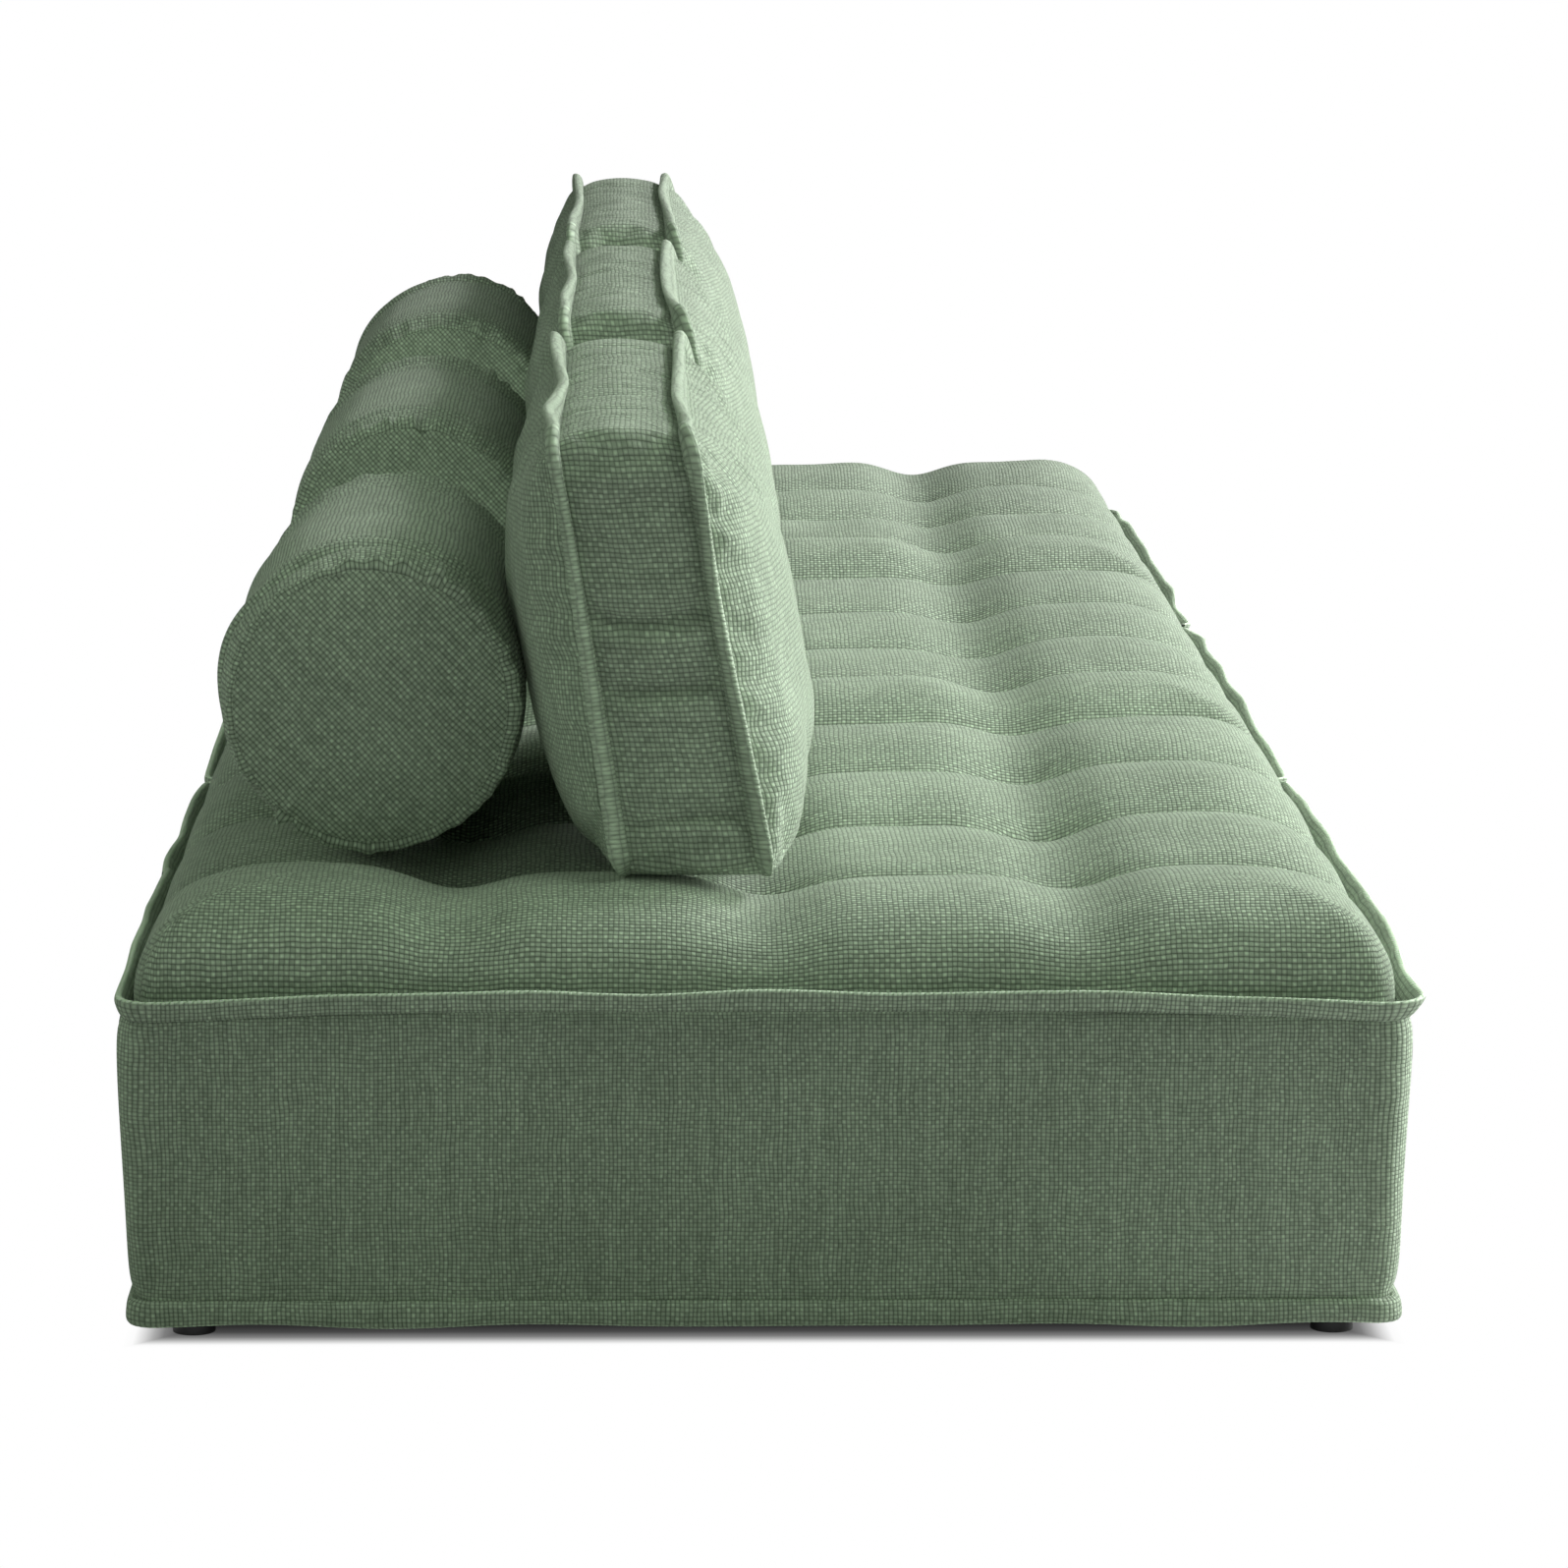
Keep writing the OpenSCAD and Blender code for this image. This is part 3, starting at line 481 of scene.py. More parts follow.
def closeBelow(bm, level):
    # Carries the border straight down to a level and closes it there
    border = [e for e in bm.edges if e.is_boundary]
    skirt = bmesh.ops.extrude_edge_only(bm, edges=border)["geom"]
    for v in [g for g in skirt if isinstance(g, bmesh.types.BMVert)]:
        v.co.z = level
    bmesh.ops.holes_fill(bm, edges=[g for g in skirt if isinstance(g, bmesh.types.BMEdge) and g.is_boundary])
    bmesh.ops.recalc_face_normals(bm, faces=bm.faces)


def makePad(side, seed):
    count = 2 * pad["edgeLines"] + pad["innerLines"]
    bm = wovenGrid(count, count, lambda a, b: padPoints(a, b, side, seed), guide=pad["guide"])
    closeBelow(bm, pad["seam"])
    piece = linkMesh(bm, side + "_tufted_pad", padCloth)
    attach(piece, "seat_" + side)
    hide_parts(side + "_seat_pad")
    half = count // 2
    bm = wovenGrid(half, half, lambda a, b: padPoints(a, b, side, seed, pad["wrap"]), guide=pad["guide"])
    closeBelow(bm, pad["foam"])
    block = linkMesh(bm, side + "_wrapped_foam_block", wadding)
    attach(block, "seat_" + side)
    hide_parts(side + "_seat_foam")


for index, side in enumerate(sides):
    makePad(side, index + 3)
print("pads ready")


# Side walls: one strip of cloth round each seat
wall = {
    "half": 0.5, "corner": 0.025, "low": 0.032, "high": topSeam, "lap": 4.0,
    "flare": 0.0030,  # stands this much proud at the top and as much less at the hem
    "belly": 0.0075, "bellyReach": 0.012,  # pressed out between the seams, where no seat stands beside
    "drawn": 0.0042, "drawnReach": 0.005,  # drawn in at both seams
    "wrinkle": 0.0016, "wrinkleWidth": 0.034, "groupWidth": 0.9, "groupLeast": 0.15,
    "buckle": 0.0008, "buckleWidth": 0.25,
    # Gathers at the top and hem near the corners: depth, place beside the corner, reach, share of the height
    "pleatWidth": 0.014, "topPleats": (0.0032, 0.045, 0.035, 0.30), "hemPleats": (0.0014, 0.03, 0.03, 0.12),
    "innermost": -0.0018,
    "columns": 760, "rows": 44,
    # Soft upright folds: side of the seat counted from the back towards +x, place along it, width, lowest and
    # highest edge, depth and spacing
    "folds": [(3, -0.19, 0.10, 0.050, 0.165, 0.0034, 0.026), (3, -0.07, 0.03, 0.040, 0.120, 0.0016, 0.020),
              (3, 0.30, 0.10, 0.060, 0.200, 0.0012, 0.045), (2, 0.22, 0.12, 0.050, 0.180, 0.0026, 0.030),
              (2, -0.28, 0.09, 0.045, 0.150, 0.0024, 0.024), (0, 0.10, 0.12, 0.050, 0.190, 0.0026, 0.028),
              (0, -0.30, 0.08, 0.060, 0.170, 0.0022, 0.025), (1, 0.15, 0.10, 0.050, 0.160, 0.0026, 0.028)],
}


def makeWall(side, seed):
    def place(a, b):
        x, y, nx, ny, toCorner, edge = ringPoint(a, wall["half"], wall["corner"])
        z = wall["low"] + (wall["high"] - wall["low"]) * b
        beside = np.where(edge % 2 == 0, x, y)
        run = a * wall["lap"]
        out = wall["flare"] * (2 * b - 1)
        # Upright wrinkles in groups, and slow buckles
        group = np.clip(softNoise(run, z * 0.6, wall["groupWidth"], seed + 5) - wall["groupLeast"], 0, 1)
        out = out + wall["wrinkle"] * group * softNoise(run, z * 0.12, wall["wrinkleWidth"], seed + 9)
        out = out + wall["buckle"] * softNoise(run, z, wall["buckleWidth"], seed + 13)
        for which, at, width, low, high, depth, spacing in wall["folds"]:
            middle, tall = (low + high) / 2, (high - low) / 2
            spot = (edge == which) * np.exp(-((beside - at) / width) ** 2)
            spot = spot * np.exp(-np.abs((z - middle) / tall) ** 3)
            lean = beside + 0.10 * (z - middle) + 0.004 * softNoise(beside, z, 0.12, seed + which)
            out = out + depth * spot * (np.abs(np.sin(lean * math.pi / spacing)) ** 0.8 - 0.5)
        phase = toCorner * 2 * math.pi / wall["pleatWidth"] + softNoise(run, z, 0.3, seed + 17)
        for name, toSeam, stretch in (("topPleats", 1 - b, 1), ("hemPleats", b, 0.8)):
            depth, at, reach, fall = wall[name]
            gather = np.exp(-((toCorner - at) / reach) ** 2) * np.exp(-toSeam / fall)
            out = out + depth * gather * np.cos(phase * stretch)
        toSeam = np.minimum(z - wall["low"], wall["high"] - z)
        out = out + wall["belly"] * np.abs(ny) * (1 - np.exp(-toSeam / wall["bellyReach"]))
        out = np.maximum(out - wall["drawn"] * np.exp(-toSeam / wall["drawnReach"]), wall["innermost"])
        return x + nx * out + seatX[side], y + ny * out, z

    bm = wovenGrid(wall["columns"], wall["rows"], place, closed=True)
    piece = linkMesh(bm, side + "_side_wall", wallCloth)
    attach(piece, "seat_" + side)
    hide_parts(side + "_side_cover")


# Folded lips: the sewn edges of wall and pad stand out together round both seams
lip = {
    "half": 0.5, "corner": 0.018, "lap": 4.0, "top": topSeam, "hem": hemSeam,
    "height": 0.0200, "hang": 0.0205, "sway": 0.0010, "reach": 0.0165, "thickness": 0.0096, "seamShare": 0.05,
    "upright": 0.5,  # how much less the top lip stands out along the back
    "hemOpen": 0.15,  # how far the bottom lip stands out, as a share of the top one
    "wave": 0.0040, "waveLength": 0.30, "ear": -0.0010, "earReach": 0.024, "droop": 0.009, "droopReach": 0.13,
    "besideRoom": 0.0047, "freeRoom": 0.0280,  # farthest out where the next seat stands, and elsewhere
    "columns": 720, "rows": 20,
}
neighbours = {"left": (1,), "middle": (-1, 1), "right": (-1,)}  # where along x the next seat stands


def makeLip(side, where, seed):
    up = 1 if where == "top" else -1
    base = lip["top"] if up > 0 else lip["hem"]

    def place(a, b):
        x, y, nx, ny, toCorner, edge = ringPoint(a, lip["half"], lip["corner"])
        run = a * lip["lap"]
        near = np.exp(-(toCorner / lip["earReach"]) ** 2)
        wave = kinkedWave(run, lip["waveLength"], seed)
        sway = softWave(run, lip["waveLength"] * 0.5, seed + 1)
        outward = 1 - lip["upright"] * np.maximum(ny, 0) if up > 0 else lip["hemOpen"]
        reach = lip["reach"] * outward + lip["wave"] * wave * outward + lip["ear"] * near * outward
        towards = np.max([nx * k for k in neighbours[side]], axis=0)
        room = np.minimum(lip["besideRoom"] / np.maximum(towards, 0.16), lip["freeRoom"])
        height = (lip["height"] if up > 0 else lip["hang"]) + lip["sway"] * sway
        q, layer = foldSection(b, lip["thickness"], lip["seamShare"])
        out = np.minimum(reach * q ** 0.7 + layer, room)
        droop = lip["droop"] * np.exp(-(toCorner / lip["droopReach"]) ** 1.5) * (1 if up > 0 else 0)
        return x + nx * out + seatX[side], y + ny * out, base + up * height * q - droop

    bm = wovenGrid(lip["columns"], lip["rows"], place, closed=True, fromMiddle=True)
    turnOutwards(bm)
    piece = linkMesh(bm, side + "_" + where + "_folded_lip", lipCloth)
    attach(piece, "seat_" + side)
    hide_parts(side + "_" + where + "_lip")


for index, side in enumerate(sides):
    makeWall(side, 40 + index)
    makeLip(side, "top", 60 + index)
    makeLip(side, "bottom", 80 + index)
print("walls and lips ready")


# Back cushions: front and back panels, a boxing strip between them, and a folded flange in each seam
cushion = {
    "width": 0.760, "height": 0.350, "boxing": 0.110, "bulge": 0.056, "lean": 10.0,
    "z": placeIn("middle_cushion_panels", 0)[2], "corner": 0.020, "pinch": 0.008,
    "columns": 112, "rows": 72, "across": 14,
    "puckers": 0.0016, "puckerWidth": 0.03, "puckerReach": 0.035,  # along the panels' seams
    "unevenness": 0.0016, "unevenSize": 0.12,
    "flange": 0.0150, "flangeThickness": 0.0125, "flangeSeamShare": 0.10, "flangeEar": 0.008,
    "flangeSplay": 0.0060, "flangeWave": 0.0075, "waveLength": 0.58, "flangeColumns": 460, "flangeRows": 16,
    "belly": 0.0030, "crown": 0.006, "drawn": 0.0038, "drawnReach": 0.006,
    "boxingPuckers": [(0.0010, 0.030), (0.0011, 0.014)],  # over the strip and beside its seams: depth, width
    # Creases across each end: share of the height, depth, sag towards the middle
    "creases": [
        (0.95, 0.0070, 0.006), (0.63, 0.0135, -0.014), (0.45, 0.0120, -0.004), (0.13, 0.0100, 0.004),
        (0.045, 0.0100, 0.010),
    ],
    "arcs": 5, "arcPlaces": 0.33, "arcSag": 0.012, "arcDepths": (0.0015, 0.003),  # creases across the top
    "filling": 0.009,  # the filling's cloth lies this far inside the cover
}
cushion["y"] = round(placeIn("middle_cushion_boxing", 0)[1] + cushion["boxing"] / 2, 6)
swell = {"frames": 20, "pressure": 2.4, "growth": 0.028, "cap": 0.008, "quality": 4, "bending": 0.6}


def onCushion(side, x, h, t):
    return seatX[side] + x, cushion["y"] + h * math.tan(math.radians(cushion["lean"])) + t, cushion["z"] + h


def cushionPlan(u, v):
    x, h = roundedPoint(u, v, cushion["width"] / 2, cushion["height"] / 2, cushion["corner"])
    x = x - np.sign(u) * cushion["pinch"] * (1 - v * v) * np.abs(u)
    h = cushion["height"] / 2 + h - np.maximum(v, 0) * cushion["pinch"] * (1 - u * u)
    return x, h


def cushionSwell(u, v):
    w = np.clip((1 - np.abs(u) ** 2.6) * (1 - np.abs(v) ** 2.6), 0, 1)
    return cushion["bulge"] * w ** 0.4 * (1 - 0.08 * v)


def spread(share, k=0.55):
    w = 2 * share - 1
    return w * (1 - k) + np.sin(w * math.pi / 2) * k


def squareRing(share):
    # Places round a panel's edge, from the middle of its foot, in step with the panel's own lines
    columns, rows = cushion["columns"], cushion["rows"]
    lap = (columns + rows) * 2
    run = (share * lap + columns / 2) % lap
    starts = np.array([0, columns, columns + rows, 2 * columns + rows])
    side = np.searchsorted(starts, run, side="right") - 1
    rest = run - starts[side]
    along = spread(rest / columns)
    up = spread(rest / rows)
    u = np.select([side == 0, side == 1, side == 2], [along, 1 + 0 * rest, -along], -1 + 0 * rest)
    v = np.select([side == 0, side == 1, side == 2], [-1 + 0 * rest, up, 1 + 0 * rest], -up)
    return u, v


def outlineAt(share, lines=6001, near=0.004):
    # Place on the cushion's outline, its outward direction, and its length so far
    fine = np.linspace(0, 1, lines)
    x, h = cushionPlan(*squareRing(fine))
    run = np.concatenate([[0], np.cumsum(np.hypot(np.diff(x), np.diff(h)))])
    here = np.interp(share, fine, run)
    before, after = (here - near) % run[-1], (here + near) % run[-1]
    ax, ah = np.interp(before, run, x), np.interp(before, run, h)
    bx, bh = np.interp(after, run, x), np.interp(after, run, h)
    size = np.maximum(np.hypot(bx - ax, bh - ah), 1e-9)
    px, ph = cushionPlan(*squareRing(share))
    return px, ph, (bh - ah) / size, -(bx - ax) / size, here


def ringRun(u, v):
    # How far round the cushion's outline a place of a panel lies, seen from its middle
    halfX, halfY = cushion["width"] / 2, cushion["height"] / 2
    m = np.maximum(np.maximum(np.abs(u), np.abs(v)), 1e-9)
    a, b = u / m, v / m
    return np.select(
        [b <= -0.999999, a >= 0.999999, b >= 0.999999],
        [(a + 1) * halfX, 2 * halfX + (b + 1) * halfY, 2 * halfX + 2 * halfY + (1 - a) * halfX],
        4 * halfX + 2 * halfY + (1 - b) * halfY)


def crease(distance, width, ridgePlace, ridgeWidth, ridge):
    # A groove with a ridge beside it
    return np.exp(-(distance / width) ** 2) - ridge * np.exp(-((distance + ridgePlace) / ridgeWidth) ** 2)


def cushionShell(side, seed, inset=0.0, coarse=1):
    columns, rows = cushion["columns"] // coarse, cushion["rows"] // coarse
    halfX, halfY = cushion["width"] / 2, cushion["height"] / 2
    parts = []
    for face in (-1, 1):
        def panel(a, b):
            u, v = spread(a), spread(b)
            x, h = cushionPlan(u, v)
            rim = np.minimum(halfX * (1 - np.abs(u)), halfY * (1 - np.abs(v)))
            t = cushionSwell(u, v)
            if not inset:
                pucker = cushion["puckers"] * softWave(ringRun(u, v), cushion["puckerWidth"], seed + face)
                t = t + pucker * np.exp(-rim / cushion["puckerReach"]) * np.minimum(rim / 0.006, 1)
                uneven = cushion["unevenness"] * softNoise(x, h, cushion["unevenSize"], seed + 3 + face)
                t = t + uneven * np.minimum(rim / 0.03, 1)
            h = halfY + (h - halfY) * (1 - inset / halfY)
            return onCushion(side, x * (1 - inset / halfX), h, face * (cushion["boxing"] / 2 + t - inset))
        parts.append(wovenGrid(columns, rows, panel))

    def boxing(a, b):
        x, h, nx, nh, run = outlineAt(a)
        t = (cushion["boxing"] - 2 * inset) * (b - 0.5)
        belly = 1 - (2 * b - 1) ** 2
        top = np.maximum(nh, 0)
        loose = 1 - np.maximum(-nh, 0)  # the foot stays flat
        out = belly * (cushion["belly"] * loose + cushion["crown"] * top)
        if not inset:
            # Drawn in at both seams, with puckers along them and soft creases across the strip
            inside = np.minimum(belly / 0.1, 1)
            toEdge = cushion["boxing"] / 2 * (1 - np.abs(2 * b - 1))
            drawn = cushion["drawn"] * np.exp(-toEdge / cushion["drawnReach"]) * np.minimum(toEdge / 0.002, 1)
            out = out - drawn * loose
            (wide, wideLength), (narrow, narrowLength) = cushion["boxingPuckers"]
            out = out + wide * softWave(run + 0.01 * t, wideLength, seed + 8) * belly ** 0.5 * loose
            seam = np.exp(-(1 - np.abs(2 * b - 1)) / 0.16)
            out = out + narrow * softWave(run, narrowLength, seed + 10) * seam * inside * loose
            for share, depth, sag in cushion["creases"]:
                level = share * cushion["height"] + sag * belly + 0.004 * np.sign(nx) * (2 * b - 1)
                groove = crease(h - level, 0.0075, 0.017, 0.012, 0.6)
                out = out - depth * groove * np.abs(nx) ** 3 * (0.35 + 0.65 * belly) * inside
            for k in range(cushion["arcs"]):
                random = np.random.default_rng(seed + 60 + k)
                level = random.uniform(-cushion["arcPlaces"], cushion["arcPlaces"])
                level = level + random.uniform(-cushion["arcSag"], cushion["arcSag"]) * belly
                groove = crease(x - level, 0.006, 0.012, 0.009, 0.5)
                out = out - random.uniform(*cushion["arcDepths"]) * groove * top ** 3 * inside
        h = halfY + (h - halfY) * (1 - inset / halfY)
        return onCushion(side, x * (1 - inset / halfX) + nx * out, h + nh * out, t)

    parts.append(wovenGrid(2 * (columns + rows), cushion["across"] // coarse, boxing, closed=True))
    return joined(parts)


def swellCloth(piece, held):
    # Cloth pressed out from inside, a little too large for its held seams: it wrinkles as sewn cloth does
    mesh = piece.data
    start = np.empty(len(mesh.vertices) * 3)
    mesh.vertices.foreach_get("co", start)
    group = piece.vertex_groups.new(name="seams")
    group.add([int(k) for k in held], 1.0, "REPLACE")
    pressed = piece.modifiers.new("swell", "CLOTH")
    pressed.settings.vertex_group_mass = "seams"
    pressed.settings.quality = swell["quality"]
    pressed.settings.use_pressure = True
    pressed.settings.uniform_pressure_force = swell["pressure"]
    pressed.settings.effector_weights.gravity = 0
    pressed.settings.shrink_min = -swell["growth"]
    pressed.settings.bending_stiffness = swell["bending"]
    pressed.point_cache.frame_start = 1
    pressed.point_cache.frame_end = swell["frames"]
    scene = bpy.context.scene
    for k in range(1, swell["frames"] + 1):
        scene.frame_set(k)
    graph = bpy.context.evaluated_depsgraph_get()
    moved = np.empty_like(start)
    piece.evaluated_get(graph).data.vertices.foreach_get("co", moved)
    piece.modifiers.remove(pressed)
    piece.vertex_groups.remove(group)
    scene.frame_set(1)
    step = (moved - start).reshape(-1, 3)
    size = np.maximum(np.linalg.norm(step, axis=1), 1e-9)
    step *= (np.tanh(size / swell["cap"]) * swell["cap"] / size)[:, None]
    mesh.vertices.foreach_set("co", start + step.ravel())
    mesh.update()


def makeFlange(side, face, word, seed):
    def flange(a, b):
        x, h, nx, nh, run = outlineAt(a)
        down = np.maximum(0, -nh)
        corner = np.abs(2 * nx * nh)
        q, layer = foldSection(b, cushion["flangeThickness"], cushion["flangeSeamShare"])
        ear = cushion["flangeEar"] * corner * (1 if face < 0 else 0.8) * np.where(nh > 0, 1, 0.2)
        reach = cushion["flange"] + ear
        sway = cushion["flangeWave"] * kinkedWave(run, cushion["waveLength"], seed + 30 + face) * q ** 1.2
        t = cushion["boxing"] / 2 - 0.0024 + sway + cushion["flangeSplay"] * np.abs(nx) ** 2 * q + layer
        out = reach * q
        # Along the seat it lies flat
        t = t * (1 - down) + down * (cushion["boxing"] / 2 - 0.0035 + reach * q * 0.5)
        out = out * (1 - down) + down * (-0.0016 + layer * 0.45)
        return onCushion(side, x + nx * out, h + nh * out, face * t)

    bm = wovenGrid(cushion["flangeColumns"], cushion["flangeRows"], flange, closed=True, fromMiddle=True)
    turnOutwards(bm)
    strip = linkMesh(bm, side + "_cushion_" + word + "_flange", flangeCloth)
    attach(strip, "cushion_" + side)
    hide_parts(side + "_cushion_flanges")


def makeCushion(side, seed):
    piece = linkMesh(cushionShell(side, seed), side + "_back_cushion", cushionCloth)
    co = np.empty(len(piece.data.vertices) * 3)
    piece.data.vertices.foreach_get("co", co)
    co = co.reshape(-1, 3)
    tilt = math.tan(math.radians(cushion["lean"]))
    t = co[:, 1] - cushion["y"] - (co[:, 2] - cushion["z"]) * tilt
    foot = co[:, 2] < cushion["z"] + 0.003
    outline = np.abs(np.abs(t) - cushion["boxing"] / 2) < 1e-4
    swellCloth(piece, np.nonzero(outline | foot)[0])
    piece.modifiers.new("soften", "SUBSURF")
    piece.modifiers["soften"].levels = piece.modifiers["soften"].render_levels = 1
    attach(piece, "cushion_" + side)
    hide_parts(side + "_cushion_panels", side + "_cushion_boxing")
    core = linkMesh(cushionShell(side, seed, cushion["filling"], 2), side + "_cushion_filling", wadding)
    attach(core, "cushion_" + side)
    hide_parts(side + "_cushion_core")
    makeFlange(side, -1, "front", seed)
    makeFlange(side, 1, "rear", seed)


for index, side in enumerate(sides):
    makeCushion(side, 100 + 50 * index)
    print(side, "cushion ready")


# Bolsters: a barrel cover gathered into two domed end discs, round a filling
bolster = {
    "radius": 0.125, "width": 0.580, "taper": 0.005, "shoulder": 0.009, "dome": 0.010,
    "shoulderLines": 12, "barrelLines": 50, "domeLines": 40,
    "barrelSteps": 190, "discSteps": 150, "coreSteps": 90,
    "gathers": [(-0.15, 0.55), (2.35, 0.45)],  # where the ends gather, in radians from the top, and width
    "gatherWidth": 0.014, "gatherLeast": 0.35,
    "pucker": 0.0030, "puckerReach": 0.022, "discPucker": 0.0026, "discReach": 0.014,
    "unevenness": 0.0012, "unevenSize": 0.14,
    # Slack in the barrel stands in low rings beside the ends: height, width, distance from the seam and reach
    "rings": 0.0034, "ringWidth": 0.034, "ringPlace": 0.05, "ringReach": 0.07,
    "seamDepth": 0.0011, "seamWidth": 0.003, "seamFade": 0.006, "filling": 0.006,
}


def spunCloth(profile, steps):
    # Profile points (distance from the axis, place along it) spun about the axis
    bm = bmesh.new()
    verts = [bm.verts.new((x, 0, r)) for r, x in profile]
    edges = [bm.edges.new(pair) for pair in zip(verts, verts[1:])]
    bmesh.ops.spin(bm, geom=verts + edges, cent=(0, 0, 0), axis=(1, 0, 0), angle=2 * math.pi, steps=steps,
                   use_merge=True)
    bmesh.ops.remove_doubles(bm, verts=bm.verts, dist=1e-6)
    return bm


def gathersAt(angle, end, seed):
    # How strongly the cloth gathers round an end, and its folds, which run on from the barrel to the disc
    b = bolster
    gathered = b["gatherLeast"] + sum(np.exp(-((angle - at) / width) ** 2) for at, width in b["gathers"])
    across, up = np.cos(angle) * b["radius"], np.sin(angle) * b["radius"] + end * 0.5
    return gathered, softNoise(across, up, b["gatherWidth"], seed)


def makeBarrel(profile, seed):
    b = bolster
    edgeR = b["radius"] - b["taper"]
    seamX = b["width"] / 2
    innerX = seamX - b["shoulder"]
    bm = spunCloth(profile, b["barrelSteps"])
    layer = bm.loops.layers.uv.new("cloth")
    angles = {v: math.atan2(v.co.y, v.co.z) for v in bm.verts}

    def alongCover(p):
        # Metres of cloth from the middle of the barrel, over its shoulder
        past = abs(p.x) - innerX
        inward = max(math.hypot(p.y, p.z) - edgeR + b["shoulder"], 1e-6)
        bent = math.atan2(max(past, 0), inward) * b["shoulder"]
        return math.copysign(innerX + bent if past > 0 else abs(p.x), p.x)

    for face in bm.faces:
        middle = face.calc_center_median()
        around = math.atan2(middle.y, middle.z)
        for loop in face.loops:
            turn = (angles[loop.vert] - around + math.pi) % (2 * math.pi) - math.pi
            loop[layer].uv = ((around + turn) * b["radius"], alongCover(loop.vert.co))
    co = np.array([v.co for v in bm.verts])
    angle = np.arctan2(co[:, 1], co[:, 2])
    toSeam = np.maximum(seamX - np.abs(co[:, 0]), 0)
    radial = np.hypot(co[:, 1], co[:, 2])
    end = np.sign(co[:, 0])
    toRim = np.maximum(radial - edgeR + b["shoulder"], 0)
    gathered, folds = gathersAt(angle, end, seed)
    lift = b["pucker"] * gathered * folds * np.exp(-toSeam / b["puckerReach"])
    lift = lift + b["unevenness"] * softNoise(co[:, 0], angle * b["radius"], b["unevenSize"], seed + 2)
    rings = b["rings"] * softWave(co[:, 0] + 0.012 * np.sin(angle), b["ringWidth"], seed + 4)
    lift = lift + rings * np.exp(-((toSeam - b["ringPlace"]) / b["ringReach"]) ** 2)
    lift = lift * np.minimum(toRim / b["seamFade"], 1)
    scale = 1 + lift / np.maximum(radial, 1e-6)
    # The seam is drawn in where the barrel meets the disc
    sink = b["seamDepth"] * np.exp(-(toRim / b["seamWidth"]) ** 2) * (toSeam < b["shoulder"])
    for v, k, d, e in zip(bm.verts, scale, sink, end):
        v.co.y *= k
        v.co.z *= k
        v.co.x -= d * e
    bmesh.ops.recalc_face_normals(bm, faces=bm.faces)
    return bm


def makeDisc(end, seed):
    b = bolster
    rim = b["radius"] - b["taper"] - b["shoulder"]
    lines = b["domeLines"]
    dome = [(rim * s / lines, b["width"] / 2 + b["dome"] * (1 - (s / lines) ** 2)) for s in range(lines + 1)]
    disc = spunCloth(dome, b["discSteps"])
    layer = disc.loops.layers.uv.new("cloth")
    for face in disc.faces:
        for loop in face.loops:
            loop[layer].uv = (loop.vert.co.y, loop.vert.co.z)
    co = np.array([v.co for v in disc.verts])
    toRim = rim - np.hypot(co[:, 1], co[:, 2])
    gathered, folds = gathersAt(np.arctan2(co[:, 1], co[:, 2]), end, seed)
    lift = b["discPucker"] * gathered * folds * np.exp(-toRim / b["discReach"])
    lift = lift * np.minimum(toRim / b["seamWidth"], 1)
    lift = lift - b["seamDepth"] * np.exp(-(toRim / b["seamWidth"]) ** 2)
    for v, k in zip(disc.verts, lift):
        v.co.x += k
        v.co.x *= end
    return disc


def makeBolster(side, seed):
    b = bolster
    centre = Vector((seatX[side], *placeIn("middle_bolster_cover")[1:]))
    shoulder, rim = b["shoulder"], b["radius"] - b["taper"] - b["shoulder"]
    innerX = b["width"] / 2 - shoulder
    bends = [k / b["shoulderLines"] * math.pi / 2 for k in range(b["shoulderLines"])]
    half = [(rim + shoulder * math.sin(k), innerX + shoulder * math.cos(k)) for k in bends]
    lines = b["barrelLines"]
    half += [(b["radius"] - b["taper"] * (s / lines) ** 2, innerX * s / lines) for s in range(lines, 0, -1)]
    profile = half + [(b["radius"], 0.0)] + [(r, -x) for r, x in reversed(half)]
    inner = b["width"] / 2 - b["filling"]
    curve = [(max(r - b["filling"], 0), min(max(x, -inner), inner)) for r, x in profile]
    shapes = {
        "barrel": makeBarrel(profile, seed), "end_discs": joined([makeDisc(-1, seed), makeDisc(1, seed)]),
        "filling": spunCloth([(0, inner)] + curve + [(0, -inner)], b["coreSteps"]),
    }
    bmesh.ops.recalc_face_normals(shapes["filling"], faces=shapes["filling"].faces)
    looks = {"barrel": padCloth, "end_discs": discCloth, "filling": wadding}
    pieces = {}
    for word, bm in shapes.items():
        bmesh.ops.translate(bm, verts=bm.verts, vec=centre)
        pieces[word] = linkMesh(bm, side + "_bolster_" + word, looks[word])
        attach(pieces[word], "bolster_" + side)
    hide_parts(side + "_bolster_cover")
    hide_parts(side + "_bolster_ends")
    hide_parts(side + "_bolster_core")


for index, side in enumerate(sides):
    makeBolster(side, 300 + 11 * index)
print("bolsters ready")


# What the covers hide, and the feet, are the part's own solids with the finish of the real thing.
# Sawn spruce: pale, matt, growth rings drawn out along each rail, and fine saw marks across it
timber = {"rings": ["#c59a63", "#dcb983", "#e6cb9c"], "ringWidth": 0.0045, "drawnOut": 0.04, "relief": 0.0006}


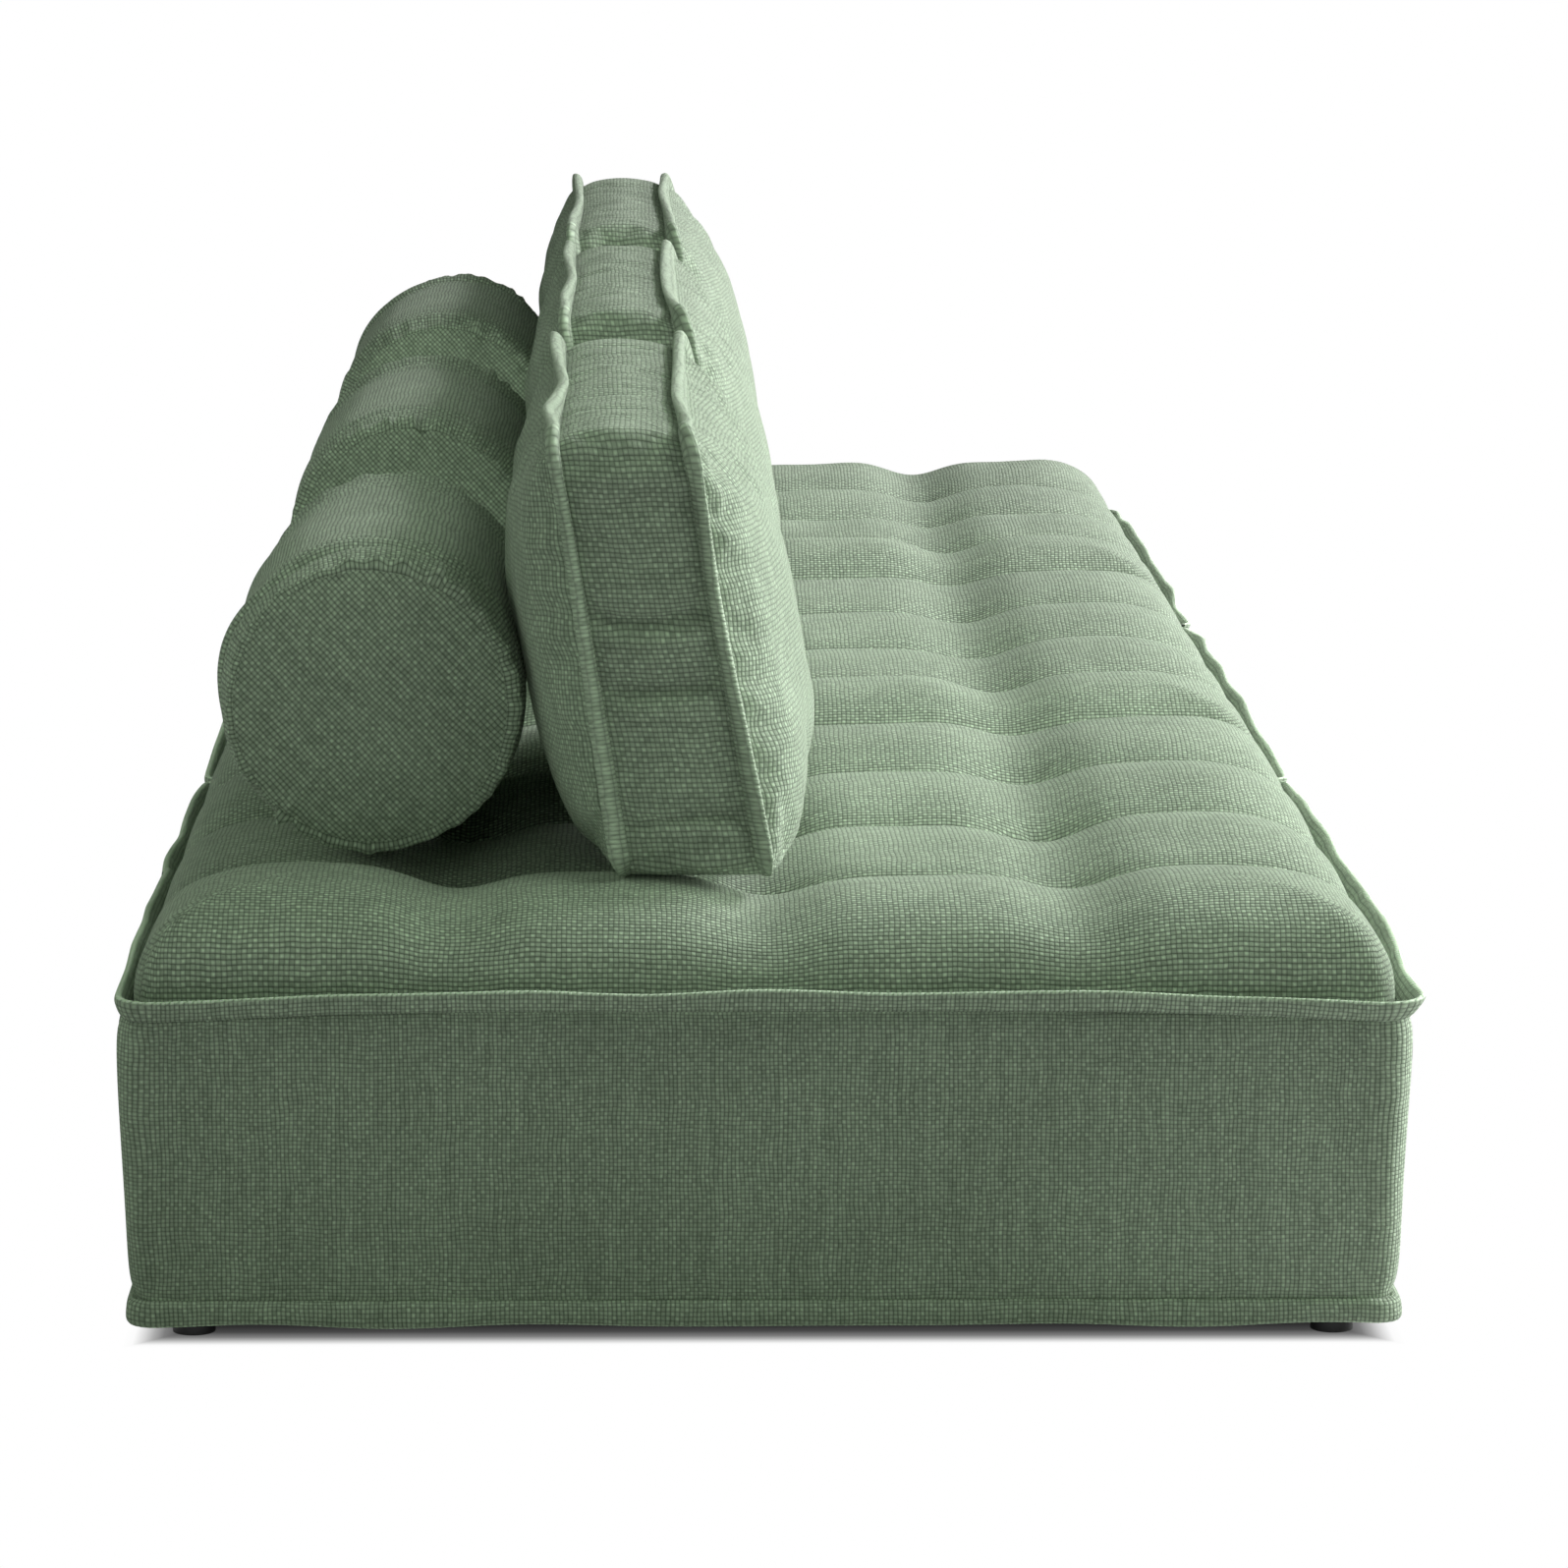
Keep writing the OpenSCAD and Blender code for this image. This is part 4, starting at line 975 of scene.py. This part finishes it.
def makeTimber():
    material, tree = newMaterial("sawn_spruce")
    place = addNode(tree, "TexCoord").outputs["Object"]
    axes = addNode(tree, "SeparateXYZ", {0: place})
    halfPitch = seatX["right"] / 2
    inSeat = addNode(tree, "Math", {0: axes.outputs[0], 1: halfPitch, 2: -halfPitch}, "WRAP")
    fromX = addNode(tree, "Math", {0: inSeat}, "ABSOLUTE")
    fromY = addNode(tree, "Math", {0: axes.outputs[1]}, "ABSOLUTE")
    alongX = addNode(tree, "Math", {0: fromY, 1: fromX}, "GREATER_THAN")
    ring = 1 / timber["ringWidth"]
    drawn = ring * timber["drawnOut"]
    first = addNode(tree, "Mapping", {"Vector": place, "Scale": (drawn, ring, ring)})
    second = addNode(tree, "Mapping", {"Vector": place, "Scale": (ring, drawn, ring)})
    grain = addNode(tree, "Mix", {"Factor": alongX, 4: second, 5: first}, data_type="VECTOR").outputs[1]
    rings = addNode(tree, "TexNoise", {
        "Vector": grain, "Scale": 0.42, "Detail": 4.0, "Roughness": 0.6, "Distortion": 0.6})
    fibre = addNode(tree, "TexNoise", {"Vector": grain, "Scale": 4.0, "Detail": 2.0})
    colour = addNode(tree, "ValToRGB", {0: rings}, stops=list(zip((0.36, 0.52, 0.66), timber["rings"])))
    return finishMaterial(material, fibre, 0.6, timber["relief"], {
        "Base Color": colour, "Roughness": 0.78, "Specular IOR Level": 0.3})


# Jute webbing: stiff brown bast yarn in a tight plain weave, hairy and quite matt
strap = {"colour": "#9c7d50", "thread": 0.0026, "hairScale": 420.0, "relief": 0.0008}


def makeStrap():
    material, tree = newMaterial("jute_webbing")
    place = addNode(tree, "TexCoord").outputs["Object"]
    turns = addNode(tree, "VectorMath", {0: place, 1: [math.pi / strap["thread"]] * 3}, "MULTIPLY")
    wave = addNode(tree, "SeparateXYZ", {0: addNode(tree, "VectorMath", {0: turns}, "SINE")})
    over = addNode(tree, "Math", {0: wave.outputs[0], 1: wave.outputs[1]}, "MULTIPLY")
    rise = addNode(tree, "Math", {0: over, 1: 0.5, 2: 0.5}, "MULTIPLY_ADD")
    hair = addNode(tree, "TexNoise", {
        "Vector": place, "Scale": strap["hairScale"], "Detail": 4.0, "Roughness": 0.7})
    tone = addNode(tree, "Math", {0: rise, 1: 0.55, 2: 0.55}, "MULTIPLY_ADD")
    tone = addNode(tree, "Math", {0: hair, 1: 0.5, 2: tone}, "MULTIPLY_ADD")
    return finishMaterial(material, tone, 0.9, strap["relief"], {
        "Base Color": strap["colour"], "Roughness": 0.9, "Specular IOR Level": 0.2}, tone)


# Waxed hemp twine: two plies laid together, so slanting bands run round it
twine = {"colour": "#b9a277", "turn": 0.0028, "fluffScale": 600.0, "relief": 0.0006}


def makeTwine():
    material, tree = newMaterial("waxed_hemp_twine")
    place = addNode(tree, "TexCoord").outputs["Object"]
    lay = addNode(tree, "Mapping", {"Vector": place, "Scale": [1 / twine["turn"]] * 3})
    bands = addNode(tree, "TexWave", {"Vector": lay, "Scale": 0.5, "Distortion": 1.5, "Detail": 2.0},
                    wave_type="BANDS", bands_direction="DIAGONAL")
    fluff = addNode(tree, "TexNoise", {"Vector": place, "Scale": twine["fluffScale"], "Detail": 3.0})
    mixed = addNode(tree, "Math", {0: fluff, 1: 0.4, 2: bands.outputs["Fac"]}, "MULTIPLY_ADD")
    tone = addNode(tree, "Math", {0: mixed, 1: 0.4, 2: 0.6}, "MULTIPLY_ADD")
    return finishMaterial(material, mixed, 0.8, twine["relief"], {
        "Base Color": twine["colour"], "Roughness": 0.7, "Specular IOR Level": 0.35}, tone)


# Spun-bonded polypropylene: black felted fibres welded in a fine grid of dots, which shine a little
lining = {"colour": "#1b1c1e", "dot": 0.0026, "fibreScale": 260.0, "relief": 0.0005}


def makeLining():
    material, tree = newMaterial("spunbonded_polypropylene")
    place = addNode(tree, "TexCoord").outputs["Object"]
    turns = addNode(tree, "VectorMath", {0: place, 1: [math.pi / lining["dot"]] * 3}, "MULTIPLY")
    wave = addNode(tree, "SeparateXYZ", {0: addNode(tree, "VectorMath", {0: turns}, "SINE")})
    dot = addNode(tree, "Math", {0: wave.outputs[0], 1: wave.outputs[1]}, "MULTIPLY")
    dot = addNode(tree, "Math", {0: dot}, "ABSOLUTE")
    dot = addNode(tree, "ValToRGB", {0: dot}, stops=[(0.45, 0.0), (0.75, 1.0)])
    fibres = addNode(tree, "TexNoise", {
        "Vector": place, "Scale": lining["fibreScale"], "Detail": 5.0, "Roughness": 0.75, "Distortion": 2.0})
    height = addNode(tree, "Math", {0: dot, 1: -0.5, 2: fibres}, "MULTIPLY_ADD")
    tone = addNode(tree, "Math", {0: fibres, 1: 1.4, 2: 0.3}, "MULTIPLY_ADD")
    rough = addNode(tree, "Math", {0: dot, 1: -0.25, 2: 0.85}, "MULTIPLY_ADD")
    return finishMaterial(material, height, 0.7, lining["relief"], {
        "Base Color": lining["colour"], "Roughness": rough, "Specular IOR Level": 0.3}, tone)


# Polypropylene feet: moulded in a spark-eroded tool, so a fine even grain, and scuffed paler where they stand
plastic = {
    "colour": "#161718", "scuffed": "#3a3b3c", "grain": 0.0009, "scuffScale": 90.0, "scuffHeight": 0.00625,
}


def makePlastic():
    material, tree = newMaterial("moulded_polypropylene")
    place = addNode(tree, "TexCoord").outputs["Object"]
    grain = addNode(tree, "TexVoronoi", {"Vector": place, "Scale": 1 / plastic["grain"]})
    scuff = addNode(tree, "TexNoise", {"Vector": place, "Scale": plastic["scuffScale"], "Detail": 4.0})
    level = addNode(tree, "SeparateXYZ", {0: place}).outputs[2]
    fall = -1 / plastic["scuffHeight"]
    low = addNode(tree, "Math", {0: level, 1: fall, 2: 1.0}, "MULTIPLY_ADD", use_clamp=True)
    worn = addNode(tree, "Math", {0: low, 1: scuff}, "MULTIPLY")
    stops = [(0.35, plastic["colour"]), (0.75, plastic["scuffed"])]
    colour = addNode(tree, "ValToRGB", {0: worn}, stops=stops)
    rough = addNode(tree, "Math", {0: scuff, 1: 0.22, 2: 0.42}, "MULTIPLY_ADD")
    return finishMaterial(material, grain, 0.35, 0.0002, {
        "Base Color": colour, "Roughness": rough, "IOR": 1.49})


# Zinc-plated steel: bright bluish grey, clouded by its passivation, with the rolling's fine lines
zinc = {"colours": ["#a9adb3", "#c9ccd0"], "cloudScale": 60.0, "lineScales": (60, 1500, 1500)}


def makeZinc():
    material, tree = newMaterial("zinc_plated_steel")
    place = addNode(tree, "TexCoord").outputs["Object"]
    cloud = addNode(tree, "TexNoise", {
        "Vector": place, "Scale": zinc["cloudScale"], "Detail": 4.0, "Roughness": 0.6})
    drawn = addNode(tree, "Mapping", {"Vector": place, "Scale": zinc["lineScales"]})
    lines = addNode(tree, "TexNoise", {"Vector": drawn, "Scale": 1.0, "Detail": 2.0})
    colour = addNode(tree, "ValToRGB", {0: cloud}, stops=list(zip((0.3, 0.7), zinc["colours"])))
    rough = addNode(tree, "Math", {0: cloud, 1: 0.25, 2: 0.2}, "MULTIPLY_ADD")
    return finishMaterial(material, lines, 0.25, 0.0002, {
        "Base Color": colour, "Metallic": 1.0, "Roughness": rough})


finishes = {
    "frame": makeTimber(), "webbing": makeStrap(), "tuft_ties": makeTwine(), "dust_cover": makeLining(),
    "feet": makePlastic(), "link": makeZinc(),
}
finishes["connector_pins"] = finishes["pivot_screws"] = finishes["link"]
for name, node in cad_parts.items():
    for ending, material in finishes.items():
        if name.endswith(ending):
            for slot in node.material_slots:
                slot.material = material
print("finishes of the hidden parts ready")


# Floor and light: a white room. The strong lamps stand before the open front, most of them towards the far
# end, and leave the near end in shade. The weak ones lift the shade and the far cushions, in the room's tint
studio = {
    "floor": 30.0, "footprint": (1.518, 0.508, 0), "reflects": "#cbcbcb", "ambient": 0.006, "tint": "#e9ffe2",
    # Place, what it faces, size, power in watts
    "lamps": {
        "high": ((4.5, -6.5, 5.6), (0, 0, 0.4), 2.0, 232),
        "nearer": ((2.4, -6.5, 5.2), (-0.6, 0, 0.4), 2.0, 112),
        "middle": ((1.5, -5.5, 5.0), (-0.3, 0, 0.4), 1.6, 118),
        "front": ((0.2, -4.2, 1.0), (0, 0, 0.4), 1.4, 96),
        "far": ((3.4, -3.6, 0.9), (1.3, -0.2, 0.55), 1.0, 34),
        "near": ((-1.1, -2.6, 1.1), (-0.9, 0, 0.35), 0.9, 23),
        "over": ((-2.0, -1.2, 2.8), (-0.9, 0, 0.4), 1.2, 16),
        "back": ((-1.2, 4.0, 3.0), (-0.6, 0.2, 0.4), 1.6, 35),
        "end": ((-6.0, 0.5, 2.4), (-1.0, 0, 0.4), 2.0, 21),
    },
    "tintedBelow": 50,  # watts
    # The floor's shade from the sofa's edge inwards, in shares of edgeWidth: both ends, then between them
    "edgeWidth": 0.08,
    "edgeShades": [(0.0, 1.0), (1.0, 0.02), (0.10, 0.965), (0.1875, 0.72), (0.29, 0.41), (0.39, 0.21),
                   (0.575, 0.065), (0.775, 0.030)],
    "clearAbove": 0.10,  # the shade goes where nothing stands this close over the floor
}


def seenPlainly(tree):
    # 1 on rays from the camera, from a reflection or through glass, and 0 on light that bounces
    path = addNode(tree, "LightPath")
    seen = path.outputs["Is Camera Ray"]
    for word in ("Glossy", "Transmission"):
        seen = addNode(tree, "Math", {0: seen, 1: path.outputs["Is " + word + " Ray"]}, "MAXIMUM")
    return seen


def makeFloor():
    # Seen by the camera it is white, with a painted shadow under the sofa while that stands on it. Light
    # bounces off it
    material, tree = newMaterial("matt_studio_floor")
    place = addNode(tree, "TexCoord").outputs["Object"]
    place = addNode(tree, "VectorMath", {0: place}, "ABSOLUTE")
    within = addNode(tree, "VectorMath", {0: studio["footprint"], 1: place}, "SUBTRACT")
    within = addNode(tree, "SeparateXYZ", {0: within})
    within = addNode(tree, "Math", {0: within.outputs[0], 1: within.outputs[1]}, "MINIMUM")
    within = addNode(tree, "Math", {0: within, 1: 1 / studio["edgeWidth"]}, "MULTIPLY", use_clamp=True)
    under = addNode(tree, "ValToRGB", {0: within}, stops=studio["edgeShades"])
    above = addNode(tree, "AmbientOcclusion", {"Distance": studio["clearAbove"]}, samples=8)
    above = addNode(tree, "ValToRGB", {0: above.outputs["AO"]}, stops=[(0.70, 0.0), (1.0, 1.0)])
    lit = addNode(tree, "VectorMath", {0: under, 1: above}, "MAXIMUM")
    glow = addNode(tree, "Emission", {"Color": lit, "Strength": 1.0})
    matt = addNode(tree, "BsdfDiffuse", {"Color": linear(studio["reflects"])})
    addNode(tree, "OutputMaterial", {
        "Surface": addNode(tree, "MixShader", {0: seenPlainly(tree), 1: matt, 2: glow})})
    bm = bmesh.new()
    bmesh.ops.create_grid(bm, x_segments=1, y_segments=1, size=studio["floor"])
    floor = linkMesh(bm, "studio_floor", material)


def makeLight():
    world = bpy.data.worlds.new("studio")
    bpy.context.scene.world = world
    world.use_nodes = True
    tree = world.node_tree
    tree.nodes.clear()
    room = addNode(tree, "Background", {"Color": linear(studio["tint"]), "Strength": studio["ambient"]})
    white = addNode(tree, "Background", {"Color": (1, 1, 1, 1), "Strength": 1.0})
    addNode(tree, "OutputWorld", {0: addNode(tree, "MixShader", {0: seenPlainly(tree), 1: room, 2: white})})
    for name, (place, target, size, power) in studio["lamps"].items():
        lamp = bpy.data.lights.new(name, "AREA")
        lamp.size = size
        lamp.energy = power
        lamp.color = linear(studio["tint"] if power < studio["tintedBelow"] else "#ffffff")[:3]
        lampObject = bpy.data.objects.new(name, lamp)
        lampObject.location = place
        lampObject.rotation_mode = "QUATERNION"
        lampObject.rotation_quaternion = (Vector(target) - Vector(place)).to_track_quat("-Z", "Y")
        lampObject.visible_camera = False
        bpy.context.collection.objects.link(lampObject)


makeFloor()
makeLight()
bpy.context.scene.view_settings.view_transform = "Standard"
print("studio ready")
